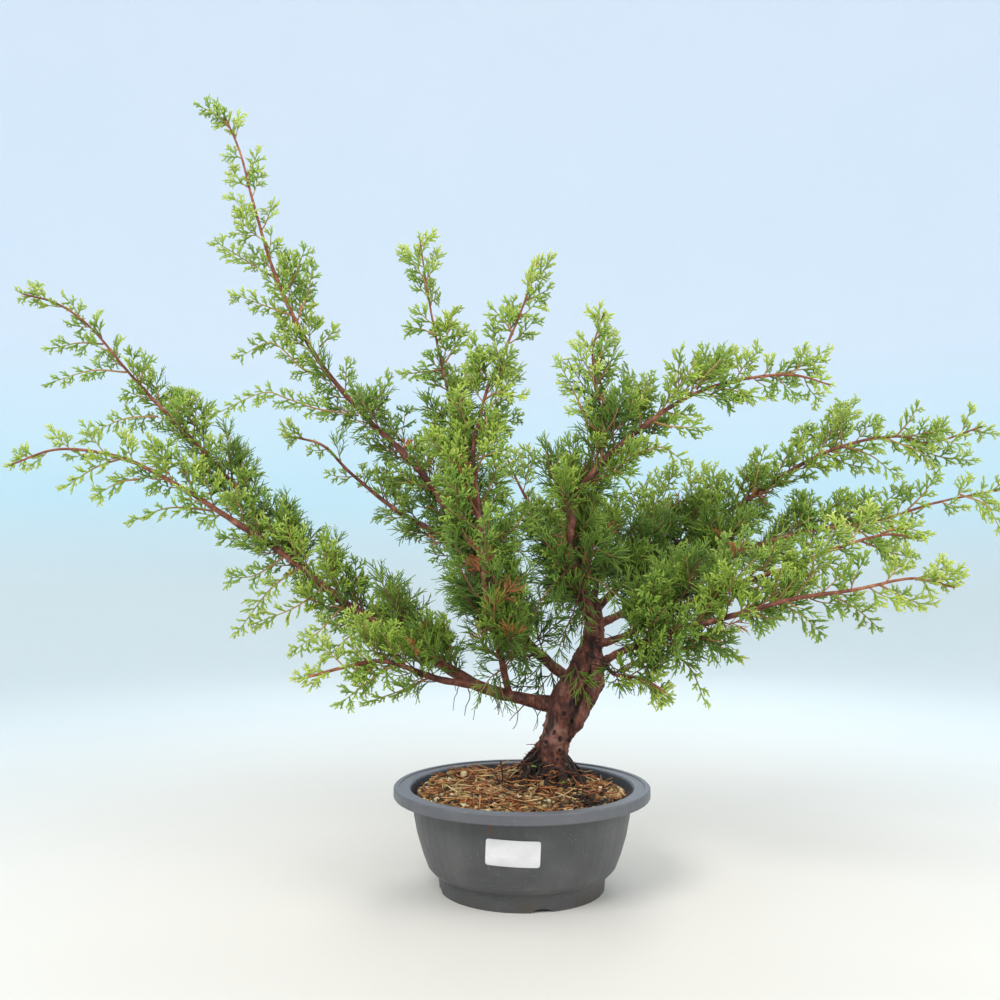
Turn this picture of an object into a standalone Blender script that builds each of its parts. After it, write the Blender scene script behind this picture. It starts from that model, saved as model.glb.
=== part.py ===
"""Juniper bonsai with long arching branches, in a round plastic training pot.

Metres, +Z up. The origin is the centre of the pot's foot, on the surface it stands on, and the
viewer's side is -Y. The tree's wood is a trunk with sixteen branches seated on it or on each other,
and each branch carries one plain closed solid for the room its foliage takes up.
"""

import math
import random

import bmesh
import bpy
from mathutils import Matrix, Vector
from mathutils.geometry import interpolate_bezier

GAP = 0.0003  # left between pieces that touch

# Pot
POT_HEIGHT = 0.0807
RIM_RADIUS = 0.1034
LIP_DEPTH = 0.0082
LIP_BEAD = 0.0042  # width of the raised ring along the lip's outer edge
LIP_STEP = 0.0009  # how far the rest of the lip's top lies below that ring
LIP_ROUND = 0.0010  # rounding of the lip's outer edge
MOUTH_ROUND = 0.0016  # rounding of its inner edge
MOUTH_RADIUS = 0.0895
FOOT_RADIUS = 0.0662
FOOT_RING = 0.0026  # width of the ring it stands on
FOOT_HEIGHT = 0.0140
FLOOR_UNDERSIDE = 0.0040
FOOT_DRAFT = 0.0012  # how much wider the foot is at its top than where it stands
WALL = 0.0022
POT_SEGMENTS = 56
BELLY = (  # outside of the wall between the foot and the lip, as (radius, height)
    (0.0720, 0.0150),
    (0.0757, 0.0190),
    (0.0800, 0.0300),
    (0.0845, 0.0450),
    (0.0870, 0.0580),
)
BELLY_TOP = 0.0890  # outside radius where the wall meets the lip
NOTCH_WIDTH = 0.0175
NOTCH_HEIGHT = 0.0028
NOTCH_ANGLES = (-78, 12, 102, 192)
DRAIN_RADIUS = 0.0050
DRAIN_CIRCLE = 0.0360
DRAIN_COUNT = 6
CUTTER_DEPTH = 0.0120  # length of the drills that make the arches and the drain holes

# Label, a blank sticker that follows the wall
LABEL_SIZE = (0.0400, 0.0200)
LABEL_CORNER = 0.0020
LABEL_THICK = 0.0003
LABEL_CENTRE = (-0.0082, 0.0484)  # X and Z
LABEL_TILT = 2.2  # degrees, right end low
LABEL_BAND = (0.0300, 0.0375, 0.0450, 0.0515, 0.0580, 0.0640)  # heights of the band it is cut from

# Soil
SOIL_EDGE = 0.0700  # height of its top at the wall
SOIL_CROWN = 0.0030
MOUND_HEIGHT = 0.0060
MOUND_SPREAD = 0.0190
SOIL_RINGS = 9
SOIL_SEGMENTS = 40
SOIL_LAP = 0.0007  # how much closer to the wall its top edge reaches than the rest

# Trunk: way-points with the radius at each, from inside the soil to the fork
TRUNK = (
    (0.025, 0.030, 0.050, 0.0120),
    (0.025, 0.030, 0.080, 0.0148),
    (0.028, 0.030, 0.105, 0.0130),
    (0.035, 0.030, 0.133, 0.0142),
    (0.043, 0.030, 0.152, 0.0138),
    (0.053, 0.031, 0.170, 0.0118),
    (0.060, 0.032, 0.190, 0.0095),
    (0.063, 0.034, 0.211, 0.0078),
    (0.061, 0.036, 0.228, 0.0060),
)
TRUNK_RIDGE = (  # an old branch grown into the trunk's right side
    (0.046, 0.022, 0.128, 0.0050),
    (0.056, 0.023, 0.145, 0.0072),
    (0.062, 0.023, 0.160, 0.0070),
    (0.064, 0.022, 0.176, 0.0058),
)
ROOT_ANGLES = (200, 255, 305, 350, 60, 130)
ROOT_REACH = 0.030
ROOT_RADIUS = 0.0042
ROOT_COURSE = ((0.003, 0.094), (0.011, 0.087), (0.020, 0.080))  # distance from the trunk, height
ROOT_CROWN = ((0.062, 0.0290), (0.076, 0.0235), (0.086, 0.0175), (0.097, 0.0125))  # height and radius of the matted roots
ROOT_END_HEIGHT = 0.066

# Branches: radius at the base and at the tip, and way-points (x, y, z) from the base out
BRANCHES = {
    "left_low": (0.0068, 0.0007, (
        (0.030, 0.030, 0.139), (0.006, 0.028, 0.144), (-0.030, 0.025, 0.154), (-0.063, 0.026, 0.172),
        (-0.100, 0.030, 0.197), (-0.147, 0.033, 0.223), (-0.195, 0.035, 0.261), (-0.250, 0.030, 0.298),
        (-0.295, 0.025, 0.327), (-0.338, 0.015, 0.348), (-0.385, 0.005, 0.354), (-0.422, 0.000, 0.341))),
    "left_high": (0.0028, 0.0007, (
        (-0.172, 0.035, 0.242), (-0.218, 0.050, 0.288), (-0.252, 0.058, 0.326), (-0.283, 0.062, 0.360),
        (-0.325, 0.060, 0.403), (-0.350, 0.055, 0.431), (-0.378, 0.045, 0.466), (-0.402, 0.032, 0.484),
        (-0.424, 0.014, 0.488))),
    "left_under": (0.0038, 0.0010, (
        (-0.036, 0.024, 0.156), (-0.070, 0.010, 0.164), (-0.108, -0.015, 0.180), (-0.136, -0.030, 0.178),
        (-0.166, -0.045, 0.171))),
    "tall": (0.0050, 0.0007, (
        (0.048, 0.036, 0.156), (0.026, 0.046, 0.172), (-0.008, 0.066, 0.204), (-0.034, 0.078, 0.238),
        (-0.055, 0.085, 0.285), (-0.077, 0.080, 0.326), (-0.108, 0.075, 0.362), (-0.138, 0.070, 0.390),
        (-0.183, 0.060, 0.445), (-0.216, 0.050, 0.511), (-0.236, 0.042, 0.577), (-0.248, 0.040, 0.622),
        (-0.262, 0.036, 0.656))),
    "back_left": (0.0030, 0.0009, (
        (-0.046, 0.084, 0.262), (-0.078, 0.102, 0.288), (-0.119, 0.117, 0.312), (-0.162, 0.127, 0.347),
        (-0.189, 0.132, 0.373), (-0.226, 0.136, 0.383))),
    "centre": (0.0030, 0.0007, (
        (-0.010, 0.024, 0.150), (-0.014, 0.008, 0.168), (-0.022, -0.015, 0.208), (-0.030, -0.025, 0.240),
        (-0.033, -0.030, 0.290), (-0.039, -0.025, 0.344), (-0.035, -0.020, 0.373), (-0.027, -0.015, 0.404),
        (-0.014, -0.010, 0.434), (0.001, -0.010, 0.470), (0.014, -0.010, 0.510))),
    "centre_left": (0.0017, 0.0006, (
        (-0.034, -0.030, 0.294), (-0.044, -0.018, 0.316), (-0.055, 0.000, 0.361), (-0.061, 0.010, 0.400),
        (-0.070, 0.016, 0.440), (-0.079, 0.020, 0.487), (-0.087, 0.020, 0.540))),
    "right_tall": (0.0038, 0.0007, (
        (0.061, 0.028, 0.212), (0.050, 0.014, 0.241), (0.041, 0.000, 0.268), (0.041, -0.010, 0.290),
        (0.047, -0.019, 0.317), (0.068, -0.030, 0.343), (0.105, -0.035, 0.374), (0.138, -0.035, 0.394),
        (0.172, -0.032, 0.405), (0.215, -0.030, 0.410), (0.247, -0.030, 0.402))),
    "right_sprout": (0.0014, 0.0006, (
        (0.062, -0.029, 0.336), (0.065, -0.036, 0.364), (0.059, -0.036, 0.400), (0.057, -0.032, 0.430),
        (0.066, -0.030, 0.460))),
    "right_mid": (0.0034, 0.0007, (
        (0.062, 0.036, 0.218), (0.090, 0.044, 0.243), (0.114, 0.050, 0.258), (0.161, 0.060, 0.290),
        (0.207, 0.062, 0.319), (0.252, 0.056, 0.348), (0.290, 0.050, 0.364), (0.330, 0.045, 0.370),
        (0.358, 0.042, 0.364), (0.402, 0.040, 0.378))),
    "right_low": (0.0034, 0.0007, (
        (0.062, 0.034, 0.204), (0.101, 0.036, 0.224), (0.147, 0.036, 0.251), (0.204, 0.036, 0.275),
        (0.255, 0.036, 0.288), (0.311, 0.037, 0.297), (0.363, 0.044, 0.312), (0.418, 0.050, 0.323))),
    "right_front": (0.0030, 0.0008, (
        (0.061, 0.028, 0.188), (0.094, 0.006, 0.203), (0.115, -0.020, 0.218), (0.153, -0.048, 0.239),
        (0.192, -0.070, 0.253), (0.225, -0.090, 0.268), (0.259, -0.100, 0.279), (0.282, -0.105, 0.277))),
    "right_bottom": (0.0040, 0.0007, (
        (0.062, 0.021, 0.172), (0.085, -0.005, 0.189), (0.122, -0.048, 0.207), (0.160, -0.078, 0.221),
        (0.194, -0.102, 0.233), (0.232, -0.119, 0.240), (0.268, -0.130, 0.248), (0.294, -0.136, 0.242))),
    "right_under": (0.0016, 0.0008, (
        (0.069, 0.014, 0.177), (0.075, -0.004, 0.169), (0.087, -0.014, 0.168), (0.099, -0.025, 0.166),
        (0.112, -0.034, 0.158))),
    "back_right": (0.0030, 0.0009, (
        (0.062, 0.038, 0.222), (0.071, 0.062, 0.253), (0.092, 0.084, 0.280), (0.126, 0.105, 0.306),
        (0.160, 0.121, 0.320), (0.196, 0.135, 0.341))),
    "back_centre": (0.0032, 0.0009, (
        (0.058, 0.042, 0.212), (0.042, 0.076, 0.249), (0.024, 0.104, 0.290), (0.003, 0.122, 0.329),
        (-0.010, 0.132, 0.358))),
}

# Foliage: where along its branch each one starts, from 0 to 1, and its greatest radius
FOLIAGE = {
    "left_low": (0.24, 0.032),
    "left_high": (0.12, 0.026),
    "left_under": (0.25, 0.024),
    "tall": (0.27, 0.034),
    "back_left": (0.15, 0.028),
    "centre": (0.14, 0.034),
    "centre_left": (0.15, 0.020),
    "right_tall": (0.14, 0.034),
    "right_sprout": (0.20, 0.016),
    "right_mid": (0.16, 0.030),
    "right_low": (0.16, 0.028),
    "right_front": (0.22, 0.028),
    "right_bottom": (0.24, 0.026),
    "right_under": (0.35, 0.018),
    "back_right": (0.25, 0.030),
    "back_centre": (0.25, 0.034),
}
FOLIAGE_LIFT = 0.20  # of its radius: the sprays sit mostly on the branch's upper side
FOLIAGE_PAST_TIP = 0.006
FOLIAGE_START = 0.38  # its radius where it starts, as a share of the greatest
FOLIAGE_SWELL = 3.4  # how fast it grows from there
FOLIAGE_TAPER = 0.70  # how much thinner it is at the tip
BRANCH_ROUNDNESS = 2  # a curve's bevel resolution: eight sides round a branch, twelve round the trunk
TRUNK_ROUNDNESS = 4
WOOD_STEP = 0.026  # length of branch between one ring of points and the next
FOLIAGE_STEP = 0.036
FINE_STEP = 0.004

COLOURS = {  # base colour, roughness
    "pot_plastic": ((0.040, 0.046, 0.058), 0.55),
    "label_vinyl": ((0.800, 0.800, 0.820), 0.40),
    "soil_mix": ((0.150, 0.090, 0.045), 0.95),
    "juniper_bark": ((0.190, 0.070, 0.042), 0.85),
    "juniper_foliage": ((0.120, 0.270, 0.045), 0.65),
}


def clear_scene():
    for obj in list(bpy.data.objects):
        bpy.data.objects.remove(obj, do_unlink=True)


def new_collection(name):
    made = bpy.data.collections.new(name)
    bpy.context.scene.collection.children.link(made)
    return made


def make_materials():
    made = {}
    for name, (colour, roughness) in COLOURS.items():
        mat = bpy.data.materials.new(name)
        mat.use_nodes = True
        shader = mat.node_tree.nodes["Principled BSDF"]
        shader.inputs["Base Color"].default_value = (*colour, 1.0)
        shader.inputs["Roughness"].default_value = roughness
        shader.inputs["Metallic"].default_value = 0.0
        mat.diffuse_color = (*colour, 1.0)
        made[name] = mat
    return made


def add_object(name, data):
    obj = bpy.data.objects.new(name, data)
    parts.objects.link(obj)
    return obj


def make_cutter(obj):
    parts.objects.unlink(obj)
    cutters.objects.link(obj)
    obj.hide_render = True
    obj.display_type = "WIRE"
    return obj


def evaluated_mesh(obj):
    graph = bpy.context.evaluated_depsgraph_get()
    graph.update()
    return bpy.data.meshes.new_from_object(obj.evaluated_get(graph))


def bake(obj):
    """Replaces the object's mesh with the one its modifiers give."""
    mesh = evaluated_mesh(obj)
    obj.modifiers.clear()
    obj.data = mesh


def largest_body_only(obj):
    """Drops the small bodies that a cut leaves loose."""
    bm = bmesh.new()
    bm.from_mesh(obj.data)
    unseen = set(bm.faces)
    bodies = []
    while unseen:
        front = [unseen.pop()]
        body = list(front)
        while front:
            face = front.pop()
            near = {other for edge in face.edges for other in edge.link_faces} & unseen
            unseen -= near
            front += near
            body += near
        bodies.append(body)
    bodies.sort(key=lambda body: sum(face.calc_area() for face in body))
    loose = [face for body in bodies[:-1] for face in body]
    bmesh.ops.delete(bm, geom=loose, context="FACES")
    bm.to_mesh(obj.data)
    bm.free()


def turned(name, profile, segments):
    """A profile of (radius, height), from the top down the outside and back, turned about Z."""
    mesh = bpy.data.meshes.new(name)
    bm = bmesh.new()
    ring = [bm.verts.new((radius, 0.0, height)) for radius, height in profile]
    for first, second in zip(ring, ring[1:]):
        bm.edges.new((first, second))
    if profile[0][0] > 0.0:
        bm.edges.new((ring[-1], ring[0]))
    bm.to_mesh(mesh)
    bm.free()
    obj = add_object(name, mesh)
    screw = obj.modifiers.new("Turn", "SCREW")
    screw.steps = segments
    screw.render_steps = segments
    screw.use_merge_vertices = True
    screw.merge_threshold = 0.00005
    bake(obj)
    return obj


def drill(name, radius, matrix, segments):
    mesh = bpy.data.meshes.new(name)
    bm = bmesh.new()
    bmesh.ops.create_cone(bm, cap_ends=True, segments=segments, radius1=radius, radius2=radius,
                          depth=CUTTER_DEPTH, matrix=matrix)
    bm.to_mesh(mesh)
    bm.free()
    return make_cutter(add_object(name, mesh))


def cut(obj, cutter, operation="DIFFERENCE"):
    step = obj.modifiers.new("Cut", "BOOLEAN")
    step.operation = operation
    step.object = cutter
    bake(obj)
    bpy.data.objects.remove(cutter, do_unlink=True)


def smooth_line(rows, step):
    """Places about one step apart on a smooth curve through the rows' way-points.

    It also gives how far along each place is, counted in way-points.
    """
    points = [Vector(row[:3]) for row in rows]
    ends = [2 * points[0] - points[1], *points, 2 * points[-1] - points[-2]]
    line = []
    along = []
    for index, (before, start, end, after) in enumerate(zip(ends, ends[1:], ends[2:], ends[3:])):
        near = start + (end - before) / 6
        far = end - (after - start) / 6
        spans = max(1, round((end - start).length / step))
        line += interpolate_bezier(start, near, far, end, spans + 1)[:-1]
        along += [index + number / spans for number in range(spans)]
    return line + [points[-1]], along + [len(points) - 1]


def tube(name, line, radii, roundness=BRANCH_ROUNDNESS, grow=0.0):
    """A closed tapering tube; grow makes it fatter and longer all round."""
    line = list(line)
    line[0] = line[0] + (line[0] - line[1]).normalized() * grow
    line[-1] = line[-1] + (line[-1] - line[-2]).normalized() * grow
    curve = bpy.data.curves.new(name, "CURVE")
    curve.dimensions = "3D"
    curve.bevel_depth = 1.0
    curve.bevel_resolution = roundness
    curve.use_fill_caps = True
    spline = curve.splines.new("POLY")
    spline.points.add(len(line) - 1)
    for point, place, radius in zip(spline.points, line, radii):
        point.co = (*place, 1.0)
        point.radius = radius + grow
    guide = add_object(name + "_guide", curve)
    mesh = evaluated_mesh(guide)
    bm = bmesh.new()
    bm.from_mesh(mesh)
    bmesh.ops.remove_doubles(bm, verts=bm.verts, dist=0.00001)
    bm.to_mesh(mesh)
    bm.free()
    obj = add_object(name, mesh)
    obj.matrix_world = guide.matrix_world
    bpy.data.objects.remove(guide, do_unlink=True)
    return obj


def bounds(line, radii, _=None):
    most = max(radii)
    low = Vector([min(p[axis] for p in line) - most for axis in range(3)])
    high = Vector([max(p[axis] for p in line) + most for axis in range(3)])
    return low, high


def reach_each_other(first, second):
    (low, high), (other_low, other_high) = first, second
    return all(low[axis] < other_high[axis] and other_low[axis] < high[axis] for axis in range(3))


def seat(obj, line, radii, placed):
    """Cuts from the object what is already placed round it, with the gap, and keeps one body."""
    near = [shape for shape in placed
            if reach_each_other(bounds(line, radii), bounds(*shape))]
    if near:
        grown = new_collection(obj.name + "_clearance")
        for number, shape in enumerate(near):
            fat = make_cutter(tube(f"{obj.name}_clearance_{number}", *shape, grow=GAP))
            grown.objects.link(fat)
        step = obj.modifiers.new("Clearance", "BOOLEAN")
        step.operand_type = "COLLECTION"
        step.collection = grown
        step.operation = "DIFFERENCE"
        bake(obj)
        for fat in list(grown.objects):
            bpy.data.objects.remove(fat, do_unlink=True)
        bpy.data.collections.remove(grown)
        largest_body_only(obj)
    placed.append((line, radii, BRANCH_ROUNDNESS))


def finish(obj, mat, sharp=50):
    obj.data.materials.clear()
    obj.data.materials.append(mat)
    obj.data.shade_smooth()
    obj.data.set_sharp_from_angle(angle=math.radians(sharp))
    obj.parent = stand


def inner_wall():
    """Inside of the pot from the mouth to the floor, as (radius, height)."""
    side = [(radius - WALL, height + 0.3 * WALL) for radius, height in reversed(BELLY)]
    return side + [
        (FOOT_RADIUS + FOOT_DRAFT - WALL, FOOT_HEIGHT + WALL),
        (FOOT_RADIUS - WALL, FOOT_HEIGHT),
        (FOOT_RADIUS - WALL, FLOOR_UNDERSIDE + WALL),
    ]


def make_pot():
    top = POT_HEIGHT
    lip_foot = top - LIP_DEPTH
    ledge = top - LIP_STEP
    bead_inside = RIM_RADIUS - LIP_BEAD
    profile = [
        (RIM_RADIUS - LIP_ROUND, top),
        (RIM_RADIUS, top - LIP_ROUND),
        (RIM_RADIUS, lip_foot + 0.8 * LIP_ROUND),
        (RIM_RADIUS - 0.6 * LIP_ROUND, lip_foot),
        (BELLY_TOP, lip_foot),
    ]
    profile += reversed(BELLY)
    profile += [
        (FOOT_RADIUS + FOOT_DRAFT, FOOT_HEIGHT),
        (FOOT_RADIUS, 0.0),
        (FOOT_RADIUS - FOOT_RING, 0.0),
        (FOOT_RADIUS - FOOT_RING, FLOOR_UNDERSIDE),
        (0.0, FLOOR_UNDERSIDE),
        (0.0, FLOOR_UNDERSIDE + WALL),
    ]
    profile += reversed(inner_wall())
    profile += [
        (MOUTH_RADIUS - MOUTH_ROUND, lip_foot + LIP_ROUND),
        (MOUTH_RADIUS, ledge - MOUTH_ROUND),
        (MOUTH_RADIUS + 0.9 * MOUTH_ROUND, ledge),
        (bead_inside - 0.6 * LIP_ROUND, ledge),
        (bead_inside, top),
    ]
    pot = turned("pot", profile, POT_SEGMENTS)
    arch = (NOTCH_WIDTH ** 2 / 4 + NOTCH_HEIGHT ** 2) / (2 * NOTCH_HEIGHT)
    for angle in NOTCH_ANGLES:
        out = Matrix.Rotation(math.radians(angle), 4, "Z") @ Matrix.Translation(
            (FOOT_RADIUS, 0.0, NOTCH_HEIGHT - arch))
        lying = out @ Matrix.Rotation(math.radians(90), 4, "Y")
        cut(pot, drill("notch", arch, lying, segments=48))
    places = [(0.0, 0.0)]
    for number in range(DRAIN_COUNT):
        angle = math.tau * (number + 0.5) / DRAIN_COUNT
        places.append((DRAIN_CIRCLE * math.cos(angle), DRAIN_CIRCLE * math.sin(angle)))
    for x, y in places:
        through = Matrix.Translation((x, y, FLOOR_UNDERSIDE))
        cut(pot, drill("drain", DRAIN_RADIUS, through, segments=16))
    return pot


def wall_radius(height):
    """Outside radius of the belly at a height."""
    for (low_radius, low), (high_radius, high) in zip(BELLY, BELLY[1:]):
        if low <= height <= high:
            return low_radius + (high_radius - low_radius) * (height - low) / (high - low)
    return BELLY[-1][0]


def make_label():
    """A band that follows the wall, cut to the sticker's outline."""
    outside = [(wall_radius(h) + GAP + LABEL_THICK, h) for h in reversed(LABEL_BAND)]
    inside = [(wall_radius(h) + GAP, h) for h in LABEL_BAND]
    label = turned("label", outside + inside, 2 * POT_SEGMENTS)
    mesh = bpy.data.meshes.new("outline")
    bm = bmesh.new()
    bmesh.ops.create_cube(bm, size=1.0)
    bmesh.ops.scale(bm, vec=(LABEL_SIZE[0], 0.06, LABEL_SIZE[1]), verts=bm.verts)
    along_y = [edge for edge in bm.edges
               if abs((edge.verts[0].co - edge.verts[1].co).normalized().y) > 0.9]
    bmesh.ops.bevel(bm, geom=along_y, offset=LABEL_CORNER, segments=4, profile=0.5, affect="EDGES")
    bm.to_mesh(mesh)
    bm.free()
    outline = make_cutter(add_object("outline", mesh))
    x, z = LABEL_CENTRE
    outline.location = (x, -wall_radius(z), z)
    outline.rotation_euler = (0.0, math.radians(LABEL_TILT), 0.0)
    cut(label, outline, "INTERSECT")
    return label


def soil_top(x, y, radius):
    away = math.hypot(x - TRUNK[0][0], y - TRUNK[0][1])
    mound = MOUND_HEIGHT * math.exp(-away ** 2 / (2 * MOUND_SPREAD ** 2))
    fade = max(0.0, 1 - (radius / MOUTH_RADIUS) ** 4)
    return SOIL_EDGE + SOIL_CROWN * (1 - (radius / MOUTH_RADIUS) ** 2) + mound * fade


def make_soil():
    """Fills the pot to just under the lip and rises round the trunk."""
    side = [(radius - GAP, height + GAP) for radius, height in inner_wall()]
    edge = side[0][0] + SOIL_LAP
    rings = [(edge * number / SOIL_RINGS, SOIL_EDGE) for number in range(SOIL_RINGS)]
    soil = turned("soil", rings + [(edge, SOIL_EDGE)] + side + [(0.0, side[-1][1])], SOIL_SEGMENTS)
    for vertex in soil.data.vertices:
        if vertex.co.z > SOIL_EDGE - 0.0001:
            x, y, _ = vertex.co
            vertex.co.z = soil_top(x, y, math.hypot(x, y))
    return soil


def trunk_shape(rows):
    """Line and radii of a piece whose way-points each hold their own radius."""
    line, along = smooth_line(rows, WOOD_STEP / 2)
    radii = []
    for place in along:
        first = min(int(place), len(rows) - 2)
        radii.append(rows[first][3] + (rows[first + 1][3] - rows[first][3]) * (place - first))
    return line, radii


def make_trunk(placed):
    """The trunk, the old branch grown into its side, and the matted roots at its base."""
    line, radii = trunk_shape(TRUNK)
    trunk = tube("trunk", line, radii, TRUNK_ROUNDNESS)
    placed.append((line, radii, TRUNK_ROUNDNESS))
    shapes = [trunk_shape(TRUNK_RIDGE)]
    base = Vector((TRUNK[1][0], TRUNK[1][1], 0.0))
    for number, angle in enumerate(ROOT_ANGLES):
        out = Vector((math.cos(math.radians(angle)), math.sin(math.radians(angle)), 0.0))
        reach = ROOT_REACH * (0.85 + 0.3 * (number % 2))
        course = (*ROOT_COURSE, (reach, ROOT_END_HEIGHT))
        root = [base + out * away + Vector((0.0, 0.0, height)) for away, height in course]
        shapes.append((root, [ROOT_RADIUS, 1.1 * ROOT_RADIUS, ROOT_RADIUS, 0.5 * ROOT_RADIUS]))
    crown = [base + Vector((0.0, 0.0, height)) for height, _ in ROOT_CROWN]
    shapes.append((crown, [radius for _, radius in ROOT_CROWN]))
    for shape_line, shape_radii in shapes:
        cut(trunk, make_cutter(tube("joined", shape_line, shape_radii)), "UNION")
        placed.append((shape_line, shape_radii, BRANCH_ROUNDNESS))
    return trunk


def branch_shape(name):
    base, tip, rows = BRANCHES[name]
    line, _ = smooth_line(rows, WOOD_STEP)
    last = len(line) - 1
    radii = [base + (tip - base) * (number / last) ** 0.8 for number in range(last + 1)]
    return line, radii


def foliage_shape(name):
    """Starts part of the way along the branch, swells at once and thins toward the tip."""
    start, most = FOLIAGE[name]
    fine, _ = smooth_line(BRANCHES[name][2], FINE_STEP)
    fine = fine[round(start * (len(fine) - 1)):]
    fine.append(fine[-1] + (fine[-1] - fine[-3]).normalized() * FOLIAGE_PAST_TIP)
    length = sum((b - a).length for a, b in zip(fine, fine[1:]))
    count = max(4, round(length / FOLIAGE_STEP))
    rng = random.Random(name)
    line = []
    radii = []
    for number in range(count + 1):
        part = number / count
        radius = most * min(1.0, FOLIAGE_START + FOLIAGE_SWELL * part)
        radius *= 1 - FOLIAGE_TAPER * part ** 1.6
        radius *= rng.uniform(0.90, 1.08)
        place = fine[round(part * (len(fine) - 1))]
        line.append(place + Vector((0.0, 0.0, FOLIAGE_LIFT * radius)))
        radii.append(radius)
    return line, radii


clear_scene()
parts = new_collection("bonsai_tree_in_pot")
cutters = new_collection("cutters")
stand = bpy.data.objects.new("bonsai_tree", None)
parts.objects.link(stand)
materials = make_materials()

finish(make_pot(), materials["pot_plastic"], sharp=35)
finish(make_label(), materials["label_vinyl"])

wood = []
finish(make_trunk(wood), materials["juniper_bark"])

soil = make_soil()
across_pot = [Vector((-MOUTH_RADIUS, 0.0, SOIL_EDGE)), Vector((MOUTH_RADIUS, 0.0, SOIL_EDGE))]
seat(soil, across_pot, [MOUTH_RADIUS, MOUTH_RADIUS], list(wood))
finish(soil, materials["soil_mix"])

for branch_name in BRANCHES:
    branch_line, branch_radii = branch_shape(branch_name)
    branch = tube(branch_name + "_branch", branch_line, branch_radii)
    seat(branch, branch_line, branch_radii, wood)
    finish(branch, materials["juniper_bark"])

everything = list(wood)
for branch_name in FOLIAGE:
    foliage_line, foliage_radii = foliage_shape(branch_name)
    foliage = tube(branch_name + "_foliage", foliage_line, foliage_radii)
    seat(foliage, foliage_line, foliage_radii, everything)
    finish(foliage, materials["juniper_foliage"])
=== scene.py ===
import math
import random

import bmesh
import bpy
import numpy as np
from mathutils import Matrix, Vector, noise


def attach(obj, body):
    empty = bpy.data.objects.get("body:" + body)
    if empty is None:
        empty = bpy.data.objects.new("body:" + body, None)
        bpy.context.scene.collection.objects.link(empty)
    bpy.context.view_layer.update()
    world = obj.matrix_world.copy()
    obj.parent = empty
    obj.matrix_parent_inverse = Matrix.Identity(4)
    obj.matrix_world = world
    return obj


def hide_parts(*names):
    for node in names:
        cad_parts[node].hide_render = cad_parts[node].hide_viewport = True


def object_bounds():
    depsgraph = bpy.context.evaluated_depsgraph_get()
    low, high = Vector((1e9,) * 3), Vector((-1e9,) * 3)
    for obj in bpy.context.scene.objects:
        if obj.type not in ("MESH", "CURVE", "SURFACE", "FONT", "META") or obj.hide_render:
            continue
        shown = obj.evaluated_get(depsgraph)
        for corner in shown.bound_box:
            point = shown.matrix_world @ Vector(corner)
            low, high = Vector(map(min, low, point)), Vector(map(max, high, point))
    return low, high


# Juniper bonsai in a round training pot. Metres, Z up, the viewer stands at -Y.
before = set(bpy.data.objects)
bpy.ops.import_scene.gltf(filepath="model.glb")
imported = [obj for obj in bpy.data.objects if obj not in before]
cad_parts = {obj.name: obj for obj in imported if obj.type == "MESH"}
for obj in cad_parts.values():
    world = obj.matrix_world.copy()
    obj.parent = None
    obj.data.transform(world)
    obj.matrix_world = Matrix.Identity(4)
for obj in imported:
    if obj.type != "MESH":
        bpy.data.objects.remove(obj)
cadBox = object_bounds()
up = np.array([0.0, 0.0, 1.0])

# Camera, light and floor

studio = {
    "cameraAt": (-0.0176, -0.8248, 0.2558),
    "cameraTilt": 3.84,  # degrees above level
    "lens": 36.0,
    "sensor": 36.0,
    "nearestSeen": 0.05,
    "lampsFace": (0.0, 0.0, 0.25),
    # each lamp's place, width, power and colour
    "keyLight": ((-0.75, -1.15, 1.45), 0.9, 22.0, (1.0, 0.985, 0.96)),
    "fillLight": ((1.15, -0.8, 0.9), 1.1, 10.0, (1.0, 0.99, 0.97)),
    "backLight": ((0.3, 1.2, 1.3), 0.9, 7.0, (1.0, 1.0, 1.0)),
    "skyStrength": 0.98,
    "skyLow": (0.99, 0.98, 0.95),
    "skyHigh": (0.98, 0.98, 0.97),
    "skyHighFrom": 0.30,
    "floorFlat": 1.7,  # radius of the level part, which then sweeps up
    "floorRise": 3.2,
    "floorWall": 0.6,  # straight up from the end of the sweep
    "floorSides": 96,
    "sweepRows": 12,
    "floorGlow": 0.12,
    "floorNear": (0.66, 0.62, 0.56, 1.0),
    # the colour farther out and up: share of the height, and colour
    "floorFar": ((0.00, (0.68, 0.745, 0.75, 1.0)), (0.03, (0.67, 0.75, 0.76, 1.0)),
                 (0.14, (0.56, 0.77, 0.84, 1.0)), (0.50, (0.69, 0.77, 0.86, 1.0)),
                 (1.00, (0.70, 0.77, 0.86, 1.0))),
    "floorFarBetween": (0.10, 1.25),  # distances from the pot over which the colour changes
}


def srgb(red, green, blue):
    # a screen colour from 0 to 255 as the linear colour that the nodes take
    parts = [value / 255 for value in (red, green, blue)]
    return tuple(v / 12.92 if v <= 0.04045 else ((v + 0.055) / 1.055) ** 2.4 for v in parts) + (1.0,)


def makeCamera():
    lensData = bpy.data.cameras.new("frontCamera")
    lensData.lens = studio["lens"]
    lensData.sensor_width = studio["sensor"]
    lensData.clip_start = studio["nearestSeen"]
    view = bpy.data.objects.new("frontCamera", lensData)
    view.location = studio["cameraAt"]
    view.rotation_euler = (math.radians(90 + studio["cameraTilt"]), 0.0, 0.0)
    bpy.context.scene.collection.objects.link(view)
    bpy.context.scene.camera = view


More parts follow.
